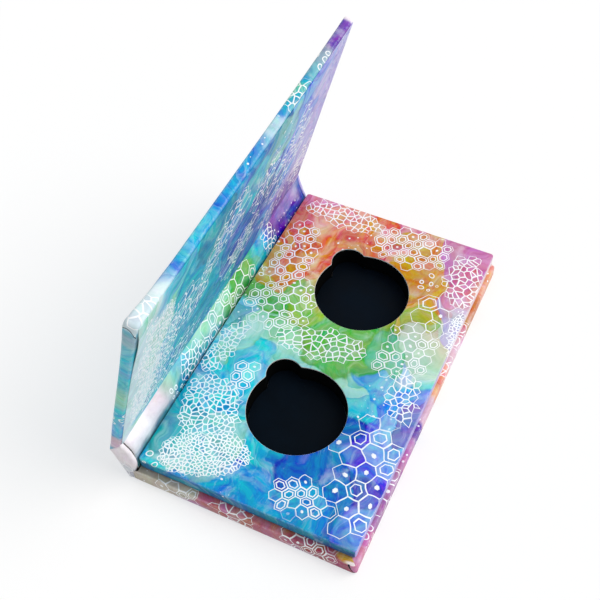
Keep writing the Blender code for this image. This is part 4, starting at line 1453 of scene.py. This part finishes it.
# Where the cover is cut so that it can bend, in millimetres from the near end and the free edge.
CUTS_ALONG = (1.9, 3.6, 6.0, 10.0, 18.0, 60.0, 80.0, 90.0, 98.0)
CUTS_DOWN = (1.9, 3.6, 7.0, 12.0, 19.0, 28.0, 40.0, 52.0)


def near_swell(x, h):
    """How far the lid's inner side stands proud at a point."""
    foot = bpy.context.scene.compact_shape.lid_foot
    return SWELL * falling(x - CASE_ENDS[0], SWELL_ALONG) * falling(h - foot, SWELL_UP)


def far_rise(x, h):
    """How far the lid's paper rises past the board's free edge, at a point."""
    height = bpy.context.scene.compact_shape.lid_height
    up = max(0.0, (h - RISE_START) / (height - RISE_START))
    return RISE * falling(CASE_ENDS[1] - x, RISE_ALONG) * up ** RISE_POWER


def rounded_corner(x, h, share_rounded):
    """Where a point near the lid's free corner goes as its outer face's corner is rounded more."""
    shape = bpy.context.scene.compact_shape
    radius, corner = shape.near_round, shape.corner
    across, down = radius - (x - CASE_ENDS[0]), radius - (shape.lid_height - h)
    if min(across, down) < TINY or share_rounded <= 0.0:
        return x, h
    length_now, straight = math.hypot(across, down), radius - corner
    if min(across, down) / max(across, down) > straight / radius:
        turn = straight * (across + down) / length_now
        edge = turn + math.sqrt(max(turn ** 2 - 2 * straight ** 2 + corner ** 2, 0.0))
    else:
        edge = radius * length_now / max(across, down)
    drawn_in = 1.0 + (radius / edge - 1.0) * share_rounded
    return x + across * (1.0 - drawn_in), h + down * (drawn_in - 1.0)


def puffed(x, h, deep):
    """Where the lid's folded paper goes as it stands off the board."""
    shape = bpy.context.scene.compact_shape
    outer = PUFF * min(1.0, max(0.0, (h - shape.lid_foot) / PUFF_STARTS_OVER))
    outer += CORNER_PUFF * falling(shape.lid_height - h, CORNER_PUFF_DOWN)
    outer *= falling(x - CASE_ENDS[0], PUFF_ALONG)
    inner_share = deep / shape.cover_depth
    deeper = deep + near_swell(x, h) * inner_share - outer * (1.0 - inner_share)
    rise = far_rise(x, h)
    x, h = rounded_corner(x, h, min(1.0, 1.0 - deep / shape.fold))
    return x, h + rise, deeper


class COMPACT_OT_lid_cover(bpy.types.Operator):
    """Fold the printed paper round the lid"""

    bl_idname = "compact.lid_cover"
    bl_label = "Lid cover"

    def execute(self, context):
        shape = context.scene.compact_shape
        foot, top = shape.lid_foot, shape.lid_height
        cover = case_cover(shape, (foot, top), shape.cover_depth, open_low=True)
        bm = cover.folded()
        carry_on(bm, foot, lambda co: foot * co.z / cover.depth, cover.depth - TINY)
        cuts = [(Vector((CASE_ENDS[0] + out * MM, 0.0, 0.0)), ALONG) for out in CUTS_ALONG]
        cuts += [(Vector((0.0, top - out * MM, 0.0)), PANEL_UP) for out in CUTS_DOWN]
        for point, direction in cuts:
            cut_along(bm, bm.verts[:] + bm.edges[:] + bm.faces[:], point, direction)
        cover.lay_print(bm, in_sheet_units)
        for vert in bm.verts:
            if vert.co.y > foot - TINY:
                vert.co = puffed(*vert.co)
        LID_PANEL.settle(bm)
        materials = [print_named("lid"), raw("paper_core")]
        add_piece("lid_cover", bm, materials, "lid", ["lid_wrap"], shape.paper)
        corner_tucks(cover, LID_PANEL, LID_TUCK, in_sheet_units, "lid", puffed)
        return {"FINISHED"}


# The lid's lining: the steps of its grid, its lower edge and its thickness.
LID_LINING_GRID = (60, 40)
LID_LINING_FOOT = 5.4 * MM
LID_LINING_PAPER = 0.15 * MM
# Its border, this wide, is pressed down to this height over the cover. Inside it rises further.
PRESSED_WIDTH, PRESSED_HEIGHT, INNER_RISE = 1.8 * MM, 0.17 * MM, 0.27 * MM
# Its near edge is lifted, less and less along the case. Down from its upper edge, in millimetres,
# the lift grows up to one distance, is most at the next, and fades over the last.
LIFT = 0.46 * MM
LIFT_ALONG, LIFT_GROWS_TO, LIFT_MOST_AT, LIFT_FADES_OVER = 2.0, 4.0, 7.0, 9.0
# Height and length of the glued sheet's small waves.
WAVE, WAVE_LENGTH = 0.05 * MM, 0.02


class COMPACT_OT_lid_lining(bpy.types.Operator):
    """Lay the printed lining on the lid's inner side"""

    bl_idname = "compact.lid_lining"
    bl_label = "Lid lining"

    def execute(self, context):
        shape = context.scene.compact_shape
        top = shape.lid_height - shape.lining_inset
        near, far = CASE_ENDS[0] + shape.lining_inset, CASE_ENDS[1] - shape.lining_inset
        bm = bmesh.new()
        across, up = LID_LINING_GRID
        bmesh.ops.create_grid(bm, x_segments=across, y_segments=up, size=0.5)
        sheet = bm.loops.layers.uv.new(SHEET_MAP)
        for vert in bm.verts:
            x = near + self.crowded(vert.co.x + 0.5) * (far - near)
            h = LID_LINING_FOOT + self.crowded(vert.co.y + 0.5) * (top - LID_LINING_FOOT)
            inside = min(min(x - near, far - x, top - h) / PRESSED_WIDTH, 1.0)
            deep = shape.cover_depth + PRESSED_HEIGHT
            deep += INNER_RISE * inside ** 2 * (3.0 - 2.0 * inside)
            deep += self.lifted((x - near) / MM, (top - h) / MM) + near_swell(x, h)
            deep += WAVE * noise.noise(Vector((x / WAVE_LENGTH, h / WAVE_LENGTH, 0.3)))
            vert.co = (x, h + far_rise(x, h), deep)
        for loop in (loop for f in bm.faces for loop in f.loops):
            loop[sheet].uv = in_sheet_units(loop.vert.co.x, loop.vert.co.y)
        face_towards(bm, Vector((0.0, 0.0, 1.0)))
        LID_PANEL.settle(bm)
        add_piece(
            "lid_lining_sheet", bm, [print_named("lid_lining")], "lid", ["lid_liner"],
            LID_LINING_PAPER,
        )
        return {"FINISHED"}

    def crowded(self, part):
        """Moves a grid's lines closer together towards its ends."""
        return 0.5 - 0.5 * math.cos(math.pi * part)

    def lifted(self, from_end, from_top):
        """How far the lining's near edge is lifted, for distances in millimetres."""
        down = min(from_top / LIFT_GROWS_TO, 1.0) ** 2
        down *= math.exp(-((from_top - LIFT_MOST_AT) / LIFT_FADES_OVER) ** 2)
        return LIFT * falling(from_end, LIFT_ALONG) * down


# The hinge lining's cross-sections at both ends, (y, z) in millimetres, from under the tray up to
# the lid. It is parted half way up: the lower part runs from the base to the spine and the upper part
# from the spine to the lid, with two points given for each part.
LINING_NEAR = [(31.15, 4.3), (31.1, 6.2), (31.05, 8.0), (30.75, 9.8), (30.75, 11.9), (31.35, 13.9),
               (32.5, 15.6), (33.55, 16.9)]
LINING_FAR = [(31.15, 4.3), (31.2, 5.8), (31.5, 7.6), (31.95, 9.4), (32.55, 11.2), (33.1, 13.0),
              (33.5, 14.8), (33.75, 16.5)]
LINING_PARTS = (
    ("lower", 0.0, 0.5, ("base", "spine"), ((31.0, 8.58), (31.62, 10.315))),
    ("upper", 0.5, 1.0, ("spine", "lid"), ((31.5, 10.9), (32.5, 16.8))),
)
LINING_ENDS = (-50.6 * MM, 50.7 * MM)
LINING_STEPS, LINING_ROWS = 70, 18
# How fast the near end's form gives way to the far end's, the height of the ripples in millimetres,
# and the width of the lining on the printed sheet.
LINING_CHANGE = 1.4
RIPPLE = 0.14
LINING_SHEET = 1.32


class COMPACT_OT_hinge_lining(bpy.types.Operator):
    """Bow the lining from the base up to the lid"""

    bl_idname = "compact.hinge_lining"
    bl_label = "Hinge lining"

    def execute(self, context):
        shape = context.scene.compact_shape
        for part, low, high, pair, bend in LINING_PARTS:
            bm = self.bowed(low, high)
            materials = [print_named("hinge_lining"), raw("paper_core")]
            piece = add_piece(
                f"{part}_lining", bm, materials, None, [f"{part}_hinge_liner"], shape.paper
            )
            apply_modifiers(piece)
            bend_across(piece, pair, bend)
        return {"FINISHED"}

    def bowed(self, low, high):
        """The lining between two shares of its height."""
        bm = bmesh.new()
        bmesh.ops.create_grid(bm, x_segments=LINING_STEPS, y_segments=LINING_ROWS, size=0.5)
        sheet = bm.loops.layers.uv.new(SHEET_MAP)
        runs = {}
        for vert in bm.verts:
            along, t = vert.co.x + 0.5, low + (vert.co.y + 0.5) * (high - low)
            near = (1.0 - along) ** LINING_CHANGE
            place = near * along_curve(LINING_NEAR, t) + (1.0 - near) * along_curve(LINING_FAR, t)
            x = LINING_ENDS[0] + along * (LINING_ENDS[1] - LINING_ENDS[0])
            wave = noise.noise(Vector((along * 9.0, t * 2.5, 0.0)))
            ripple = RIPPLE * wave * math.sin(math.pi * t) ** 2
            vert.co = (x, (place.x + ripple) * MM, place.y * MM)
            runs[vert] = (x / SHEET_UNIT, (1.0 - t) * LINING_SHEET)
        for loop in (loop for f in bm.faces for loop in f.loops):
            loop[sheet].uv = runs[loop.vert]
        face_towards(bm, Vector((0.0, -1.0, 0.0)))
        return bm


class COMPACT_OT_hidden_parts(bpy.types.Operator):
    """Give the boards, floors and magnets their finish"""

    bl_idname = "compact.hidden_parts"
    bl_label = "Boards and magnets"

    def execute(self, context):
        finishes = {
            raw("raw_board"): ("base_board_lower", "spine_board", "lid_board"),
            raw("dyed_board"): ("base_board_upper",),
            finish_named("well_floor_coat", coated_disc): ("well_floor_left", "well_floor_right"),
            finish_named("base_lining_paper", printed_paper, "hinge_lining", True): ("base_liner",),
            finish_named("magnet_nickel", nickel_plate): (
                "tray_magnet_left", "tray_magnet_right", "lid_magnet_left", "lid_magnet_right"
            ),
        }
        for material, nodes in finishes.items():
            for node in nodes:
                for slot in frame["nodes"][node].material_slots:
                    slot.material = material
        return {"FINISHED"}


FLOOR_HEIGHT = -0.05 * MM
FLOOR_GLOW_TINT = (0.962, 1.003, 1.042)
FLOOR_GREY = (0.8, 0.8, 0.8)
SKY_TINT = (0.97, 0.985, 1.0)
LAMP_PLACE = Vector((0.35, -0.62, 0.78))
LAMP_SPREAD = math.radians(50.0)
# The camera's place and its right, up and backward directions, as solved from the photograph, with
# its lens and sensor in millimetres, its shift and the nearest distance that it sees.
CAMERA_PLACE = (-0.1342815, -0.0607228, 0.223132)
CAMERA_AXES = (
    (0.424162, -0.905451, -0.015621),
    (0.742522, 0.337859, 0.57837),
    (-0.518408, -0.256922, 0.815625),
)
CAMERA_LENS, CAMERA_SENSOR = 56.9524, 36.0
CAMERA_SHIFT = (-0.016167, 0.064819)
CAMERA_NEAR = 0.01


class COMPACT_OT_stage(bpy.types.Operator):
    """Set the floor, the light and the camera"""

    bl_idname = "compact.stage"
    bl_label = "Stage"

    def execute(self, context):
        settings = context.scene.compact_stage
        self.lay_floor(context, settings)
        self.light_sky(context, settings)
        self.hang_lamp(context, settings)
        self.set_camera(context)
        context.scene.view_settings.view_transform = "Standard"
        return {"FINISHED"}

    def lay_floor(self, context, settings):
        bm = bmesh.new()
        bmesh.ops.create_grid(bm, x_segments=1, y_segments=1, size=settings.floor_side / 2)
        bmesh.ops.translate(bm, verts=bm.verts[:], vec=(0.0, 0.0, FLOOR_HEIGHT))
        mesh = bpy.data.meshes.new("floor")
        bm.to_mesh(mesh)
        bm.free()
        floor = bpy.data.objects.new("floor", mesh)
        context.scene.collection.objects.link(floor)
        finish = Finish(bpy.data.materials.new("floor_white"))
        tone, glow = tuple(settings.floor_tone), settings.floor_glow
        shadowed = finish.add("ShaderNodeBsdfDiffuse", {"Color": tone}).outputs[0]
        glowing = finish.add("ShaderNodeEmission", {"Color": FLOOR_GLOW_TINT, "Strength": glow})
        both = finish.add("ShaderNodeAddShader", {0: shadowed, 1: glowing.outputs[0]}).outputs[0]
        plain = finish.add("ShaderNodeBsdfDiffuse", {"Color": FLOOR_GREY}).outputs[0]
        chosen = finish.add("ShaderNodeMixShader", {0: finish.seen(), 1: plain, 2: both})
        mesh.materials.append(finish.show(chosen))

    def light_sky(self, context, settings):
        context.scene.world = bpy.data.worlds.new("studio")
        sky = Finish(context.scene.world, "ShaderNodeOutputWorld")
        strength = settings.sky_light
        light = sky.add("ShaderNodeBackground", {"Color": SKY_TINT, "Strength": strength})
        white = sky.add("ShaderNodeBackground", {"Color": WHITE, "Strength": 1.0})
        chosen = {0: sky.seen(), 1: light.outputs[0], 2: white.outputs[0]}
        sky.show(sky.add("ShaderNodeMixShader", chosen))

    def hang_lamp(self, context, settings):
        lamp = bpy.data.lights.new("window", "SUN")
        lamp.angle = LAMP_SPREAD
        lamp.energy = settings.key_light
        light = bpy.data.objects.new("window", lamp)
        light.location = LAMP_PLACE
        light.rotation_euler = (-LAMP_PLACE).to_track_quat("-Z", "Y").to_euler()
        context.scene.collection.objects.link(light)

    def set_camera(self, context):
        data = bpy.data.cameras.new("camera")
        data.sensor_width = CAMERA_SENSOR
        data.lens = CAMERA_LENS
        data.shift_x, data.shift_y = CAMERA_SHIFT
        data.clip_start = CAMERA_NEAR
        camera = bpy.data.objects.new("camera", data)
        turn = Matrix([[axis[row] for axis in CAMERA_AXES] for row in range(3)]).to_4x4()
        camera.matrix_world = Matrix.Translation(CAMERA_PLACE) @ turn
        context.scene.collection.objects.link(camera)
        context.scene.camera = camera


class COMPACT_PT_sidebar(bpy.types.Panel):
    """Lists the compact's pieces and settings"""

    bl_idname = "COMPACT_PT_sidebar"
    bl_label = "Eyeshadow Compact"
    bl_space_type = "VIEW_3D"
    bl_region_type = "UI"
    bl_category = "Compact"

    def draw(self, context):
        for operator in OPERATORS:
            self.layout.operator(operator.bl_idname)
        for name in SETTINGS:
            group = getattr(context.scene, name)
            box = self.layout.box()
            for key in group.bl_rna.properties.keys():
                if key not in ("rna_type", "name"):
                    box.prop(group, key)


SETTINGS = {
    "compact_shape": CompactShape,
    "compact_palette": CompactPalette,
    "compact_print": CompactPrint,
    "compact_stage": CompactStage,
}
OPERATORS = (
    COMPACT_OT_base_cover,
    COMPACT_OT_tray_cover,
    COMPACT_OT_tray_boards,
    COMPACT_OT_spine_cover,
    COMPACT_OT_spine_ends,
    COMPACT_OT_lid_cover,
    COMPACT_OT_lid_lining,
    COMPACT_OT_hinge_lining,
    COMPACT_OT_hidden_parts,
    COMPACT_OT_stage,
)


def register():
    for group in SETTINGS.values():
        bpy.utils.register_class(group)
    for operator in OPERATORS:
        bpy.utils.register_class(operator)
    bpy.utils.register_class(COMPACT_PT_sidebar)
    for name, group in SETTINGS.items():
        setattr(bpy.types.Scene, name, PointerProperty(type=group))


def unregister():
    for name in SETTINGS:
        delattr(bpy.types.Scene, name)
    bpy.utils.unregister_class(COMPACT_PT_sidebar)
    for operator in reversed(OPERATORS):
        bpy.utils.unregister_class(operator)
    for group in reversed(SETTINGS.values()):
        bpy.utils.unregister_class(group)


def main():
    register()
    for operator in OPERATORS:
        getattr(bpy.ops.compact, operator.bl_idname.split(".")[1])()


if __name__ == "__main__":
    main()
